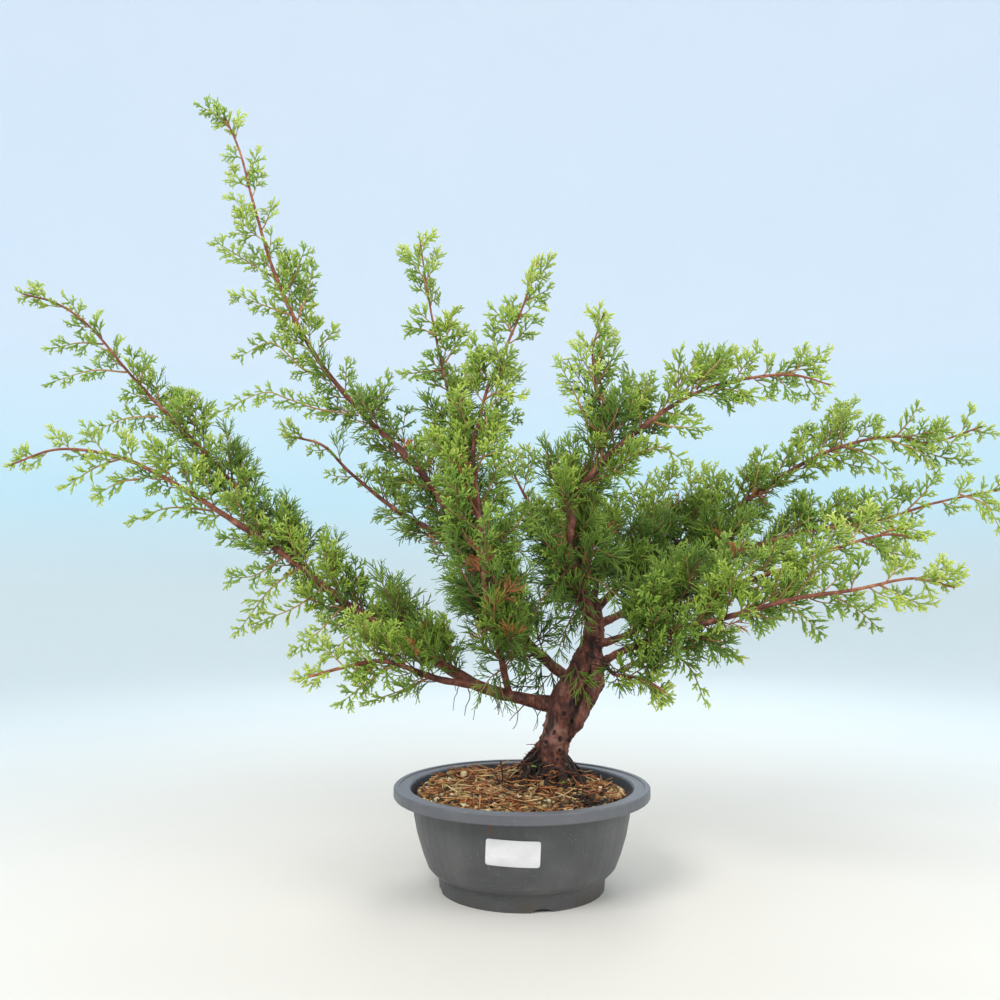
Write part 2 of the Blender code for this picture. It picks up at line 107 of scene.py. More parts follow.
def makeLamp(name):
    place, width, power, colour = studio[name]
    data = bpy.data.lights.new(name, "AREA")
    data.shape = "DISK"
    data.size = width
    data.energy = power
    data.color = colour
    lamp = bpy.data.objects.new(name, data)
    lamp.location = place
    lamp.rotation_euler = (Vector(studio["lampsFace"]) - Vector(place)).to_track_quat("-Z", "Y").to_euler()
    bpy.context.scene.collection.objects.link(lamp)


def makeSky():
    world = bpy.data.worlds.new("softSky")
    world.use_nodes = True
    bpy.context.scene.world = world
    tree = world.node_tree
    sky = tree.nodes["Background"]
    where = tree.nodes.new("ShaderNodeTexCoord")
    split = tree.nodes.new("ShaderNodeSeparateXYZ")
    blend = tree.nodes.new("ShaderNodeValToRGB")
    blend.color_ramp.elements[0].position = 0.0
    blend.color_ramp.elements[0].color = (*studio["skyLow"], 1.0)
    blend.color_ramp.elements[1].position = studio["skyHighFrom"]
    blend.color_ramp.elements[1].color = (*studio["skyHigh"], 1.0)
    tree.links.new(where.outputs["Generated"], split.inputs[0])
    tree.links.new(split.outputs["Z"], blend.inputs["Fac"])
    tree.links.new(blend.outputs["Color"], sky.inputs["Color"])
    sky.inputs["Strength"].default_value = studio["skyStrength"]
    bpy.context.scene.view_settings.view_transform = "Standard"


# Shapes

def lengthAlong(line):
    # distance from the start at each place of a line
    return np.concatenate([[0], np.cumsum(np.linalg.norm(np.diff(line, axis=0), axis=1))])


def smoothLine(points, step):
    # even steps along a smooth curve through the points
    known = np.array(points, float)
    ends = np.vstack([2 * known[0] - known[1], known, 2 * known[-1] - known[-2]])
    t = np.linspace(0, 1, 16, endpoint=False)[:, None]
    fine = []
    for a, b, c, d in zip(ends, ends[1:], ends[2:], ends[3:]):
        fine.append(b + 0.5 * t * (c - a + t * (2 * a - 5 * b + 4 * c - d + t * (3 * b - a - 3 * c + d))))
    fine = np.vstack([*fine, known[-1:]])
    along = lengthAlong(fine)
    wanted = np.linspace(0, along[-1], max(3, round(along[-1] / step) + 1))
    return np.stack([np.interp(wanted, along, fine[:, axis]) for axis in range(3)], 1)


def unit(vector):
    return vector / max(float(np.linalg.norm(vector)), 1e-12)


def framesAlong(line):
    # forward, sideways and upward directions at each place, with as little twist as the line allows
    forward = np.gradient(line, axis=0)
    forward /= np.linalg.norm(forward, axis=1)[:, None]
    sideways = np.empty_like(forward)
    start = np.cross(forward[0], up)
    if np.linalg.norm(start) < 0.1:
        start = np.array([1.0, 0.0, 0.0])
    now = unit(start)
    for index, ahead in enumerate(forward):
        now = unit(now - ahead * (now @ ahead))
        sideways[index] = now
    return forward, sideways, np.cross(sideways, forward)


def ringsToFaces(rings, sides, closed=True):
    # triangles between neighbouring rings of points, and to one last point where closed
    ring = np.arange(sides)
    after = (ring + 1) % sides
    low = (np.arange(rings - 1) * sides)[:, None]
    a, b = low + ring, low + after
    faces = [np.stack([a, b, b + sides], 2).reshape(-1, 3),
             np.stack([a, b + sides, a + sides], 2).reshape(-1, 3)]
    if closed:
        last = (rings - 1) * sides
        faces.append(np.stack([last + ring, last + after, np.full(sides, rings * sides)], 1))
    return np.vstack(faces)


def tubeArrays(line, radii, sides):
    # a tapering tube with a pointed end; radii may hold one value per place or one per point
    line = np.asarray(line, float)
    forward, sideways, upward = framesAlong(line)
    turn = np.arange(sides) * math.tau / sides
    out = sideways[:, None] * np.cos(turn)[None, :, None] + upward[:, None] * np.sin(turn)[None, :, None]
    radii = np.asarray(radii, float)
    radii = np.repeat(radii[:, None], sides, 1) if radii.ndim == 1 else radii
    points = (line[:, None] + out * radii[:, :, None]).reshape(-1, 3)
    tip = line[-1] + forward[-1] * radii[-1].mean() * 1.5
    return np.vstack([points, tip]), ringsToFaces(len(line), sides)


def joinArrays(shapes):
    # shapes are (points, faces, extra values per point ...)
    offset = 0
    faces = []
    for shape in shapes:
        faces.append(shape[1] + offset)
        offset += len(shape[0])
    extras = [np.concatenate([np.asarray(shape[k]) for shape in shapes]) for k in range(2, len(shapes[0]))]
    return [np.vstack([shape[0] for shape in shapes]), np.vstack(faces), *extras]


def meshPiece(name, points, faces, material, values=None):
    mesh = bpy.data.meshes.new(name)
    mesh.vertices.add(len(points))
    mesh.vertices.foreach_set("co", np.asarray(points, np.float32).ravel())
    mesh.loops.add(faces.size)
    mesh.loops.foreach_set("vertex_index", faces.astype(np.int32).ravel())
    mesh.polygons.add(len(faces))
    mesh.polygons.foreach_set("loop_start", np.arange(0, faces.size, 3, dtype=np.int32))
    mesh.update(calc_edges=True)
    mesh.shade_smooth()
    for label, numbers in (values or {}).items():
        layer = mesh.attributes.new(label, "FLOAT", "POINT")
        layer.data.foreach_set("value", np.asarray(numbers, np.float32))
    mesh.materials.append(material)
    piece = bpy.data.objects.new(name, mesh)
    bpy.context.scene.collection.objects.link(piece)
    return piece


def layColourMap(piece, across, upwards):
    # a UV map laid out by the two values that the colours follow, so a bake finds every colour
    mesh = piece.data
    corners = np.empty(len(mesh.loops), np.int32)
    mesh.loops.foreach_get("vertex_index", corners)
    places = np.stack([np.clip(across, 0.004, 0.996), np.clip(upwards, 0.004, 0.996)], 1)[corners]
    layer = mesh.uv_layers.new(name="OFBake", do_init=False)
    layer.uv.foreach_set("vector", places.astype(np.float32).ravel())


# Materials

def newMaterial(name, roughness):
    made = bpy.data.materials.new(name)
    made.use_nodes = True
    shader = made.node_tree.nodes["Principled BSDF"]
    shader.inputs["Roughness"].default_value = roughness
    return made, made.node_tree, shader


def addNode(tree, kind, **settings):
    node = tree.nodes.new(kind)
    for label, value in settings.items():
        setattr(node, label, value)
    return node


def link(tree, source, target):
    tree.links.new(source, target)


def readValue(tree, label):
    return addNode(tree, "ShaderNodeAttribute", attribute_name=label).outputs["Fac"]


def colourRamp(tree, value, stops):
    node = tree.nodes.new("ShaderNodeValToRGB")
    steps = node.color_ramp.elements
    steps[0].position, steps[0].color = stops[0]
    steps[1].position, steps[1].color = stops[-1]
    for place, colour in stops[1:-1]:
        steps.new(place).color = colour
    link(tree, value, node.inputs["Fac"])
    return node.outputs["Color"]


def shades(tree, value, *stops):
    # each stop is a place from 0 to 1 and a screen colour
    return colourRamp(tree, value, [(place, srgb(*colour)) for place, *colour in stops])


def stretched(tree, scale):
    # places in the piece's own metres, stretched along the axes
    where = tree.nodes.new("ShaderNodeTexCoord")
    mapping = tree.nodes.new("ShaderNodeMapping")
    mapping.inputs["Scale"].default_value = scale
    link(tree, where.outputs["Object"], mapping.inputs["Vector"])
    return mapping.outputs["Vector"]


def noiseOn(tree, places, scale, detail=4.0, roughness=0.55):
    node = tree.nodes.new("ShaderNodeTexNoise")
    node.inputs["Scale"].default_value = scale
    node.inputs["Detail"].default_value = detail
    node.inputs["Roughness"].default_value = roughness
    link(tree, places, node.inputs["Vector"])
    return node.outputs["Fac"]


def cellsOn(tree, places, scale):
    node = tree.nodes.new("ShaderNodeTexVoronoi")
    node.inputs["Scale"].default_value = scale
    link(tree, places, node.inputs["Vector"])
    return node.outputs["Distance"]


def grade(tree, value, low, high, start=0.0, end=1.0):
    # start where the value is low or less, end where it is high or more
    node = addNode(tree, "ShaderNodeMapRange", interpolation_type="SMOOTHSTEP")
    for label, number in (("From Min", low), ("From Max", high), ("To Min", start), ("To Max", end)):
        node.inputs[label].default_value = number
    link(tree, value, node.inputs["Value"])
    return node.outputs["Result"]


def combine(tree, operation, first, second):
    node = addNode(tree, "ShaderNodeMath", operation=operation)
    for socket, value in zip(node.inputs, (first, second)):
        if isinstance(value, (int, float)):
            socket.default_value = value
        else:
            link(tree, value, socket)
    return node.outputs[0]


def times(tree, first, *others):
    for other in others:
        first = combine(tree, "MULTIPLY", first, other)
    return first


def plus(tree, first, second):
    return combine(tree, "ADD", first, second)


def acrossSquared(tree, place):
    # squared distance from the upright axis
    return plus(tree, times(tree, place["X"], place["X"]), times(tree, place["Y"], place["Y"]))


def mixColour(tree, factor, first, second):
    node = addNode(tree, "ShaderNodeMix", data_type="RGBA", blend_type="MIX")
    for socket, value in ((node.inputs[0], factor), (node.inputs[6], first), (node.inputs[7], second)):
        if isinstance(value, (int, float, tuple)):
            socket.default_value = value
        else:
            link(tree, value, socket)
    return node.outputs[2]


def bumpFrom(tree, shader, height, distance, strength=1.0):
    node = tree.nodes.new("ShaderNodeBump")
    node.inputs["Strength"].default_value = strength
    node.inputs["Distance"].default_value = distance
    link(tree, height, node.inputs["Height"])
    link(tree, node.outputs["Normal"], shader.inputs["Normal"])


def placeParts(tree):
    where = tree.nodes.new("ShaderNodeTexCoord")
    split = tree.nodes.new("ShaderNodeSeparateXYZ")
    link(tree, where.outputs["Object"], split.inputs[0])
    return split.outputs


def makeLeafGreen():
    # age runs from old growth near the trunk, darker also as painted shade, to this year's tips; tone mixes
    # a dark copy of the green, painted shade, with a bright copy, painted light, and so tells one spray
    # from the next
    made, tree, shader = newMaterial("leafGreen", 0.50)
    age, tone = readValue(tree, "age"), readValue(tree, "tone")
    shadedCool = shades(tree, age, (0.00, 120, 72, 40), (0.05, 146, 92, 52), (0.09, 34, 54, 20),
                  (0.35, 64, 94, 32), (0.62, 100, 134, 46), (0.85, 146, 170, 72), (1.00, 182, 198, 112))
    litWarm = shades(tree, age, (0.00, 162, 100, 54), (0.05, 184, 124, 68), (0.09, 54, 72, 22),
                  (0.35, 102, 128, 36), (0.62, 148, 170, 56), (0.85, 188, 200, 84), (1.00, 216, 222, 132))
    link(tree, mixColour(tree, tone, shadedCool, litWarm), shader.inputs["Base Color"])
    rough = grade(tree, tone, 0.0, 1.0, 0.62, 0.42)
    link(tree, rough, shader.inputs["Roughness"])
    shader.inputs["Specular IOR Level"].default_value = 0.35
    return made


def makeTwigSkin():
    # age runs from bark at the base to green at the growing end
    made, tree, shader = newMaterial("twigSkin", 0.60)
    age, tone = readValue(tree, "age"), readValue(tree, "tone")
    dark = shades(tree, age, (0.00, 66, 36, 26), (0.35, 100, 58, 38), (0.60, 138, 98, 52),
                  (0.80, 124, 124, 58), (1.00, 88, 124, 46))
    light = shades(tree, age, (0.00, 98, 56, 40), (0.35, 146, 92, 56), (0.60, 190, 146, 86),
                   (0.80, 176, 164, 86), (1.00, 134, 160, 64))
    link(tree, mixColour(tree, tone, dark, light), shader.inputs["Base Color"])
    link(tree, grade(tree, tone, 0.0, 1.0, 0.70, 0.50), shader.inputs["Roughness"])
    return made


def makeBranchBark():
    made, tree, shader = newMaterial("branchBark", 0.8)
    here = stretched(tree, (1.0, 1.0, 1.0))
    patches = noiseOn(tree, here, 90.0, 5.0, 0.6)
    flakes = noiseOn(tree, here, 420.0, 4.0, 0.7)
    specks = cellsOn(tree, here, 260.0)
    age = readValue(tree, "age")
    old = shades(tree, patches, (0.32, 56, 30, 24), (0.45, 88, 46, 34), (0.55, 118, 66, 48),
                 (0.68, 160, 108, 88))
    young = shades(tree, patches, (0.30, 92, 46, 32), (0.50, 140, 78, 52), (0.70, 186, 128, 86))
    colour = mixColour(tree, grade(tree, age, 0.40, 0.92), old, young)
    colour = mixColour(tree, grade(tree, flakes, 0.50, 0.66, 0.0, 0.65), colour, srgb(58, 32, 26))
    colour = mixColour(tree, grade(tree, specks, 0.20, 0.07, 0.0, 0.75), colour, srgb(40, 23, 19))
    link(tree, colour, shader.inputs["Base Color"])
    link(tree, grade(tree, flakes, 0.3, 0.7, 0.62, 0.9), shader.inputs["Roughness"])
    bumpFrom(tree, shader, flakes, 0.0006, 0.7)
    return made


def makeTrunkBark():
    made, tree, shader = newMaterial("trunkBark", 0.85)
    strips = noiseOn(tree, stretched(tree, (1.0, 1.0, 0.35)), 210.0, 6.0, 0.65)
    patches = noiseOn(tree, stretched(tree, (1.0, 1.0, 0.7)), 75.0, 5.0, 0.6)
    grain = noiseOn(tree, stretched(tree, (1.0, 1.0, 0.5)), 900.0, 3.0, 0.6)
    hollowShade, knot = readValue(tree, "hollowShade"), readValue(tree, "knot")
    colour = shades(tree, strips, (0.30, 44, 22, 18), (0.42, 74, 38, 28), (0.52, 106, 58, 42),
                    (0.62, 128, 76, 58), (0.74, 156, 106, 86))
    colour = mixColour(tree, grade(tree, patches, 0.52, 0.66, 0.0, 0.65), colour, srgb(146, 104, 90))
    colour = mixColour(tree, grade(tree, patches, 0.45, 0.32, 0.0, 0.8), colour, srgb(58, 30, 24))
    # painted shade in the sunken strips and in the crease beside the ridge
    colour = mixColour(tree, grade(tree, hollowShade, 0.30, 0.9, 0.0, 0.85), colour, srgb(32, 18, 15))
    colour = mixColour(tree, grade(tree, knot, 0.2, 0.7, 0.0, 0.92), colour, srgb(34, 18, 14))
    height = placeParts(tree)["Z"]
    low = combine(tree, "SUBTRACT", height, times(tree, patches, 0.016))
    colour = mixColour(tree, grade(tree, low, 0.0880, 0.0790, 0.0, 0.92), colour, srgb(30, 19, 15))
    link(tree, colour, shader.inputs["Base Color"])
    link(tree, grade(tree, grain, 0.3, 0.7, 0.7, 0.95), shader.inputs["Roughness"])
    bumpFrom(tree, shader, plus(tree, strips, times(tree, grain, 0.3)), 0.0012, 0.8)
    return made


def makeRootSkin():
    made, tree, shader = newMaterial("rootSkin", 0.8)
    here = stretched(tree, (1.0, 1.0, 1.0))
    blotch = noiseOn(tree, here, 160.0, 4.0)
    colour = shades(tree, blotch, (0.30, 22, 14, 11), (0.50, 42, 27, 20), (0.72, 80, 54, 40))
    link(tree, colour, shader.inputs["Base Color"])
    bumpFrom(tree, shader, noiseOn(tree, here, 700.0), 0.0004, 0.8)
    return made


def makeAirRootSkin():
    made, tree, shader = newMaterial("airRootSkin", 0.75)
    blotch = noiseOn(tree, stretched(tree, (1.0, 1.0, 1.0)), 180.0, 3.0)
    colour = shades(tree, blotch, (0.30, 106, 86, 70), (0.55, 150, 128, 106), (0.75, 178, 160, 138))
    link(tree, colour, shader.inputs["Base Color"])
    bumpFrom(tree, shader, blotch, 0.0002, 0.6)
    return made


def makeSoilBed():
    made, tree, shader = newMaterial("soilBed", 0.95)
    here = stretched(tree, (1.0, 1.0, 1.0))
    crumbs = noiseOn(tree, here, 330.0, 6.0, 0.7)
    areas = noiseOn(tree, here, 38.0, 3.0)
    # dark soil, made darker still so that the gaps between the granules show painted shade
    colour = shades(tree, crumbs, (0.30, 16, 10, 8), (0.46, 36, 24, 16), (0.60, 66, 45, 28),
                    (0.74, 112, 80, 48))
    colour = mixColour(tree, grade(tree, areas, 0.58, 0.44, 0.0, 0.6), colour, srgb(52, 36, 26))
    darkened = grade(tree, readValue(tree, "darkened"), 0.1, 0.8, 0.3, 0.95)
    colour = mixColour(tree, darkened, colour, srgb(24, 16, 12))
    link(tree, colour, shader.inputs["Base Color"])
    link(tree, grade(tree, areas, 0.4, 0.6, 0.75, 0.98), shader.inputs["Roughness"])
    bumpFrom(tree, shader, crumbs, 0.0015, 0.9)
    return made


def makeGranule():
    # tone picks the clay's colour, from dark and moist to pale and dry
    made, tree, shader = newMaterial("clayGranule", 0.95)
    here = stretched(tree, (1.0, 1.0, 1.0))
    tone = readValue(tree, "tone")
    pores = noiseOn(tree, here, 900.0, 4.0, 0.7)
    colour = shades(tree, tone, (0.00, 20, 13, 10), (0.22, 52, 35, 22), (0.50, 134, 104, 60),
                    (0.75, 182, 154, 100), (1.00, 220, 202, 158))
    colour = mixColour(tree, grade(tree, pores, 0.55, 0.35, 0.0, 0.5), colour, srgb(60, 40, 24))
    link(tree, colour, shader.inputs["Base Color"])
    link(tree, grade(tree, pores, 0.3, 0.7, 0.80, 0.98), shader.inputs["Roughness"])
    bumpFrom(tree, shader, pores, 0.0005, 0.8)
    return made


def makeDeadNeedle():
    made, tree, shader = newMaterial("deadNeedle", 0.8)
    age, tone = readValue(tree, "age"), readValue(tree, "tone")
    dull = shades(tree, tone, (0.00, 44, 26, 18), (0.25, 104, 56, 28), (0.50, 156, 88, 42),
                  (0.75, 180, 124, 70), (1.00, 200, 170, 112))
    bright = shades(tree, tone, (0.00, 62, 36, 22), (0.25, 132, 74, 36), (0.50, 182, 108, 54),
                    (0.75, 202, 148, 86), (1.00, 216, 192, 136))
    link(tree, mixColour(tree, age, dull, bright), shader.inputs["Base Color"])
    link(tree, grade(tree, tone, 0.0, 1.0, 0.9, 0.6), shader.inputs["Roughness"])
    return made


potLook = {
    # pairs are where a mark starts and where it is full, in metres
    "lip": (0.0700, 0.0735),
    "scuffBand": (0.030, 0.020),
    "dirtyFoot": (0.016, 0.003),
    "limeFrom": (-0.03, 0.06),  # from left to right
    "smearAt": -0.0245,
    "smearSide": (0.0040, 0.0024),
    "smearFoot": (0.0585, 0.0635),
    "smearTop": (0.0730, 0.0715),
    "smearFront": (-0.04, -0.06),
    "innerRadius": (0.0903, 0.0897),
    "innerWall": (0.0726, 0.0732),
}


def makePotPlastic():
    made, tree, shader = newMaterial("potPlastic", 0.5)
    here = stretched(tree, (1.0, 1.0, 1.0))
    place = placeParts(tree)
    high = place["Z"]
    cloud = noiseOn(tree, here, 26.0, 5.0, 0.6)
    streaks = noiseOn(tree, stretched(tree, (1.0, 1.0, 0.30)), 120.0, 6.0, 0.7)
    scratch = noiseOn(tree, stretched(tree, (0.35, 0.35, 2.6)), 300.0, 4.0, 0.75)
    specks = cellsOn(tree, here, 420.0)
    grains = noiseOn(tree, here, 60.0, 2.0)
    skin = noiseOn(tree, here, 1500.0, 2.0, 0.5)
    colour = shades(tree, cloud, (0.30, 67, 66, 68), (0.50, 77, 76, 77), (0.70, 91, 90, 89))
    colour = mixColour(tree, grade(tree, streaks, 0.56, 0.74, 0.0, 0.10), colour, srgb(128, 126, 122))
    # painted light on the lip, lighter by height as if lit from above; lime and dust in a scuffed band near
    # the foot
    colour = mixColour(tree, grade(tree, high, *potLook["lip"], 0.0, 0.36), colour, srgb(112, 112, 119))
    band = times(tree, grade(tree, high, *potLook["scuffBand"]), grade(tree, scratch, 0.45, 0.70))
    colour = mixColour(tree, times(tree, band, 0.32), colour, srgb(118, 118, 116))
    dots = times(tree, grade(tree, specks, 0.17, 0.06), grade(tree, grains, 0.50, 0.62))
    colour = mixColour(tree, times(tree, dots, 0.75), colour, srgb(172, 168, 156))
    # splashes of lime where water ran down, more of them on the right
    ragged = plus(tree, cellsOn(tree, here, 95.0), times(tree, scratch, 0.9))
    toRight = grade(tree, place["X"], *potLook["limeFrom"], 0.12, 0.7)
    splash = times(tree, grade(tree, ragged, 0.52, 0.36), toRight)
    colour = mixColour(tree, splash, colour, srgb(140, 134, 122))
    # one brown smear left of the middle, just under the lip
    fromSmear = combine(tree, "ABSOLUTE", plus(tree, place["X"], -potLook["smearAt"]), 0.0)
    wavy = plus(tree, fromSmear, times(tree, grains, 0.004))
    smear = times(tree, grade(tree, wavy, *potLook["smearSide"]), grade(tree, high, *potLook["smearFoot"]),
                  grade(tree, high, *potLook["smearTop"]), grade(tree, place["Y"], *potLook["smearFront"]))
    colour = mixColour(tree, times(tree, smear, 0.7), colour, srgb(104, 66, 44))
    # the wall inside the rim, above the soil, is painted darker
    inner = [radius ** 2 for radius in potLook["innerRadius"]]
    inside = grade(tree, acrossSquared(tree, place), *inner)
    darkened = times(tree, inside, grade(tree, high, *potLook["innerWall"]))
    colour = mixColour(tree, times(tree, darkened, 0.85), colour, srgb(28, 30, 33))
    dirt = times(tree, grade(tree, high, *potLook["dirtyFoot"]), grade(tree, cloud, 0.35, 0.6))
    colour = mixColour(tree, times(tree, dirt, 0.6), colour, srgb(66, 54, 42))
    link(tree, colour, shader.inputs["Base Color"])
    rough = plus(tree, grade(tree, cloud, 0.3, 0.7, 0.40, 0.52), times(tree, band, 0.2))
    link(tree, rough, shader.inputs["Roughness"])
    shader.inputs["Specular IOR Level"].default_value = 0.45
    bumpFrom(tree, shader, plus(tree, skin, times(tree, scratch, 0.6)), 0.00012, 0.5)
    return made


def makeStickerPaper():
    made, tree, shader = newMaterial("stickerPaper", 0.42)
    here = stretched(tree, (1.0, 1.0, 1.0))
    cloud = noiseOn(tree, here, 70.0, 4.0)
    fibre = noiseOn(tree, here, 1300.0, 3.0)
    place = placeParts(tree)
    colour = shades(tree, cloud, (0.35, 222, 217, 217), (0.60, 235, 230, 230), (0.75, 227, 221, 217))
    colour = mixColour(tree, grade(tree, place["Z"], 0.044, 0.0385, 0.0, 0.18), colour, srgb(176, 176, 180))
    link(tree, colour, shader.inputs["Base Color"])
    link(tree, grade(tree, fibre, 0.3, 0.7, 0.36, 0.5), shader.inputs["Roughness"])
    bumpFrom(tree, shader, plus(tree, cloud, times(tree, fibre, 0.15)), 0.0002, 0.4)
    return made


def makeFloorPaint():
    made, tree, shader = newMaterial("floorPaint", 0.75)
    place = placeParts(tree)
    far = colourRamp(tree, grade(tree, place["Z"], -0.05, 2.2), studio["floorFar"])
    away = combine(tree, "SQRT", acrossSquared(tree, place), 0.0)
    colour = mixColour(tree, grade(tree, away, *studio["floorFarBetween"]), studio["floorNear"], far)
    soft = noiseOn(tree, stretched(tree, (1.0, 1.0, 1.0)), 3.0, 2.0)
    paint = mixColour(tree, grade(tree, soft, 0.3, 0.7, 0.0, 0.04), colour, (0.9, 0.9, 0.9, 1.0))
    link(tree, paint, shader.inputs["Base Color"])
    # the swept-up part glows a little, so it stays as light as the level part
    link(tree, paint, shader.inputs["Emission Color"])
    glow = grade(tree, place["Z"], 0.0, 0.8, 0.0, studio["floorGlow"])
    link(tree, glow, shader.inputs["Emission Strength"])
    return made


def makeFloor():
    # a level disc that sweeps up all round, seen from any side as one plain pale ground
    flat, rise, sides = studio["floorFlat"], studio["floorRise"], studio["floorSides"]
    rows = [(0.3, 0.0), (0.8, 0.0), (flat, 0.0)]
    for number in range(1, studio["sweepRows"] + 1):
        angle = math.pi / 2 * number / studio["sweepRows"]
        rows.append((flat + (rise - flat) * math.sin(angle), (rise - flat) * (1 - math.cos(angle))))
    rows.append((rise, rise + studio["floorWall"]))
    mesh = bpy.data.meshes.new("studioFloor")
    bm = bmesh.new()
    rings = []
    for radius, height in rows:
        rings.append([bm.verts.new((radius * math.cos(a), radius * math.sin(a), height))
                      for a in np.linspace(0, math.tau, sides, endpoint=False)])
    bm.faces.new(rings[0])
    for low, high in zip(rings, rings[1:]):
        for index in range(sides):
            after = (index + 1) % sides
            bm.faces.new((low[index], low[after], high[after], high[index]))
    bmesh.ops.recalc_face_normals(bm, faces=bm.faces)
    bm.to_mesh(mesh)
    bm.free()
    mesh.shade_smooth()
    mesh.materials.append(makeFloorPaint())
    floor = bpy.data.objects.new("studioFloor", mesh)
    bpy.context.scene.collection.objects.link(floor)


# Limbs: radius at the base and at the tip, where leaves start, and the way-points from the base out

limbs = {
    "left_low": (0.0058, 0.0007, 0.16, (
        (0.030, 0.030, 0.139), (0.006, 0.028, 0.144), (-0.030, 0.025, 0.154), (-0.063, 0.026, 0.172),
        (-0.100, 0.030, 0.197), (-0.147, 0.033, 0.223), (-0.195, 0.035, 0.261), (-0.250, 0.030, 0.298),
        (-0.295, 0.025, 0.327), (-0.338, 0.015, 0.348), (-0.385, 0.005, 0.354), (-0.422, 0.000, 0.341))),
    "left_high": (0.0028, 0.0007, 0.05, (
        (-0.172, 0.035, 0.242), (-0.218, 0.050, 0.288), (-0.252, 0.058, 0.326), (-0.283, 0.062, 0.360),
        (-0.325, 0.060, 0.403), (-0.350, 0.055, 0.431), (-0.378, 0.045, 0.466), (-0.402, 0.032, 0.484),
        (-0.424, 0.014, 0.488))),
    "left_under": (0.0034, 0.0010, 0.22, (
        (-0.036, 0.024, 0.156), (-0.070, 0.010, 0.164), (-0.108, -0.015, 0.180), (-0.136, -0.030, 0.178),
        (-0.166, -0.045, 0.171))),
    "tall": (0.0048, 0.0007, 0.06, (
        (0.048, 0.036, 0.156), (0.026, 0.046, 0.172), (-0.008, 0.066, 0.204), (-0.034, 0.078, 0.238),
        (-0.055, 0.085, 0.285), (-0.077, 0.080, 0.326), (-0.108, 0.075, 0.362), (-0.138, 0.070, 0.390),
        (-0.183, 0.060, 0.445), (-0.216, 0.050, 0.511), (-0.236, 0.042, 0.577), (-0.248, 0.040, 0.622),
        (-0.262, 0.036, 0.656))),
    "back_left": (0.0030, 0.0009, 0.02, (
        (-0.046, 0.084, 0.262), (-0.078, 0.102, 0.288), (-0.119, 0.117, 0.312), (-0.162, 0.127, 0.347),
        (-0.189, 0.132, 0.373), (-0.226, 0.136, 0.383))),
    "centre": (0.0030, 0.0007, 0.08, (
        (-0.010, 0.024, 0.150), (-0.014, 0.008, 0.168), (-0.022, -0.015, 0.208), (-0.030, -0.025, 0.240),
        (-0.033, -0.030, 0.290), (-0.039, -0.025, 0.344), (-0.035, -0.020, 0.373), (-0.027, -0.015, 0.404),
        (-0.014, -0.010, 0.434), (0.001, -0.010, 0.470), (0.014, -0.010, 0.510))),
    "centre_left": (0.0017, 0.0006, 0.04, (
        (-0.034, -0.030, 0.294), (-0.044, -0.018, 0.316), (-0.055, 0.000, 0.361), (-0.061, 0.010, 0.400),
        (-0.070, 0.016, 0.440), (-0.079, 0.020, 0.487), (-0.087, 0.020, 0.540))),
    "right_tall": (0.0038, 0.0007, 0.02, (
        (0.061, 0.028, 0.212), (0.050, 0.014, 0.241), (0.041, 0.000, 0.268), (0.041, -0.010, 0.290),
        (0.047, -0.019, 0.317), (0.068, -0.030, 0.343), (0.105, -0.035, 0.374), (0.138, -0.035, 0.394),
        (0.172, -0.032, 0.405), (0.215, -0.030, 0.410), (0.247, -0.030, 0.402))),
    "right_sprout": (0.0014, 0.0006, 0.15, (
        (0.062, -0.029, 0.336), (0.065, -0.036, 0.364), (0.059, -0.036, 0.400), (0.057, -0.032, 0.430),
        (0.066, -0.030, 0.460))),
    "right_mid": (0.0034, 0.0007, 0.05, (
        (0.062, 0.036, 0.218), (0.090, 0.044, 0.243), (0.114, 0.050, 0.258), (0.161, 0.060, 0.290),
        (0.207, 0.062, 0.319), (0.252, 0.056, 0.348), (0.290, 0.050, 0.364), (0.330, 0.045, 0.370),
        (0.358, 0.042, 0.364), (0.402, 0.040, 0.378))),
    "right_low": (0.0034, 0.0007, 0.07, (
        (0.062, 0.034, 0.204), (0.101, 0.036, 0.224), (0.147, 0.036, 0.251), (0.204, 0.036, 0.275),
        (0.255, 0.036, 0.288), (0.311, 0.037, 0.297), (0.363, 0.044, 0.312), (0.418, 0.050, 0.323))),
    "right_front": (0.0030, 0.0008, 0.12, (
        (0.061, 0.028, 0.188), (0.094, 0.006, 0.203), (0.115, -0.020, 0.218), (0.153, -0.048, 0.239),
        (0.192, -0.070, 0.253), (0.225, -0.090, 0.268), (0.259, -0.100, 0.279), (0.282, -0.105, 0.277))),
    "right_bottom": (0.0036, 0.0007, 0.14, (
        (0.062, 0.021, 0.172), (0.085, -0.005, 0.189), (0.122, -0.048, 0.207), (0.160, -0.078, 0.221),
        (0.194, -0.102, 0.233), (0.232, -0.119, 0.240), (0.268, -0.130, 0.248), (0.294, -0.136, 0.242))),
    "right_under": (0.0016, 0.0008, 0.30, (
        (0.069, 0.014, 0.177), (0.075, -0.004, 0.169), (0.087, -0.014, 0.168), (0.099, -0.025, 0.166),
        (0.112, -0.034, 0.158))),
    "back_right": (0.0030, 0.0009, 0.05, (
        (0.062, 0.038, 0.222), (0.071, 0.062, 0.253), (0.092, 0.084, 0.280), (0.126, 0.105, 0.306),
        (0.160, 0.121, 0.320), (0.196, 0.135, 0.341))),
    "back_centre": (0.0032, 0.0009, 0.05, (
        (0.058, 0.042, 0.212), (0.042, 0.076, 0.249), (0.024, 0.104, 0.290), (0.003, 0.122, 0.329),
        (-0.010, 0.132, 0.358))),
}

# The longer side shoots, which shape the tree's outline; the many short ones grow by themselves

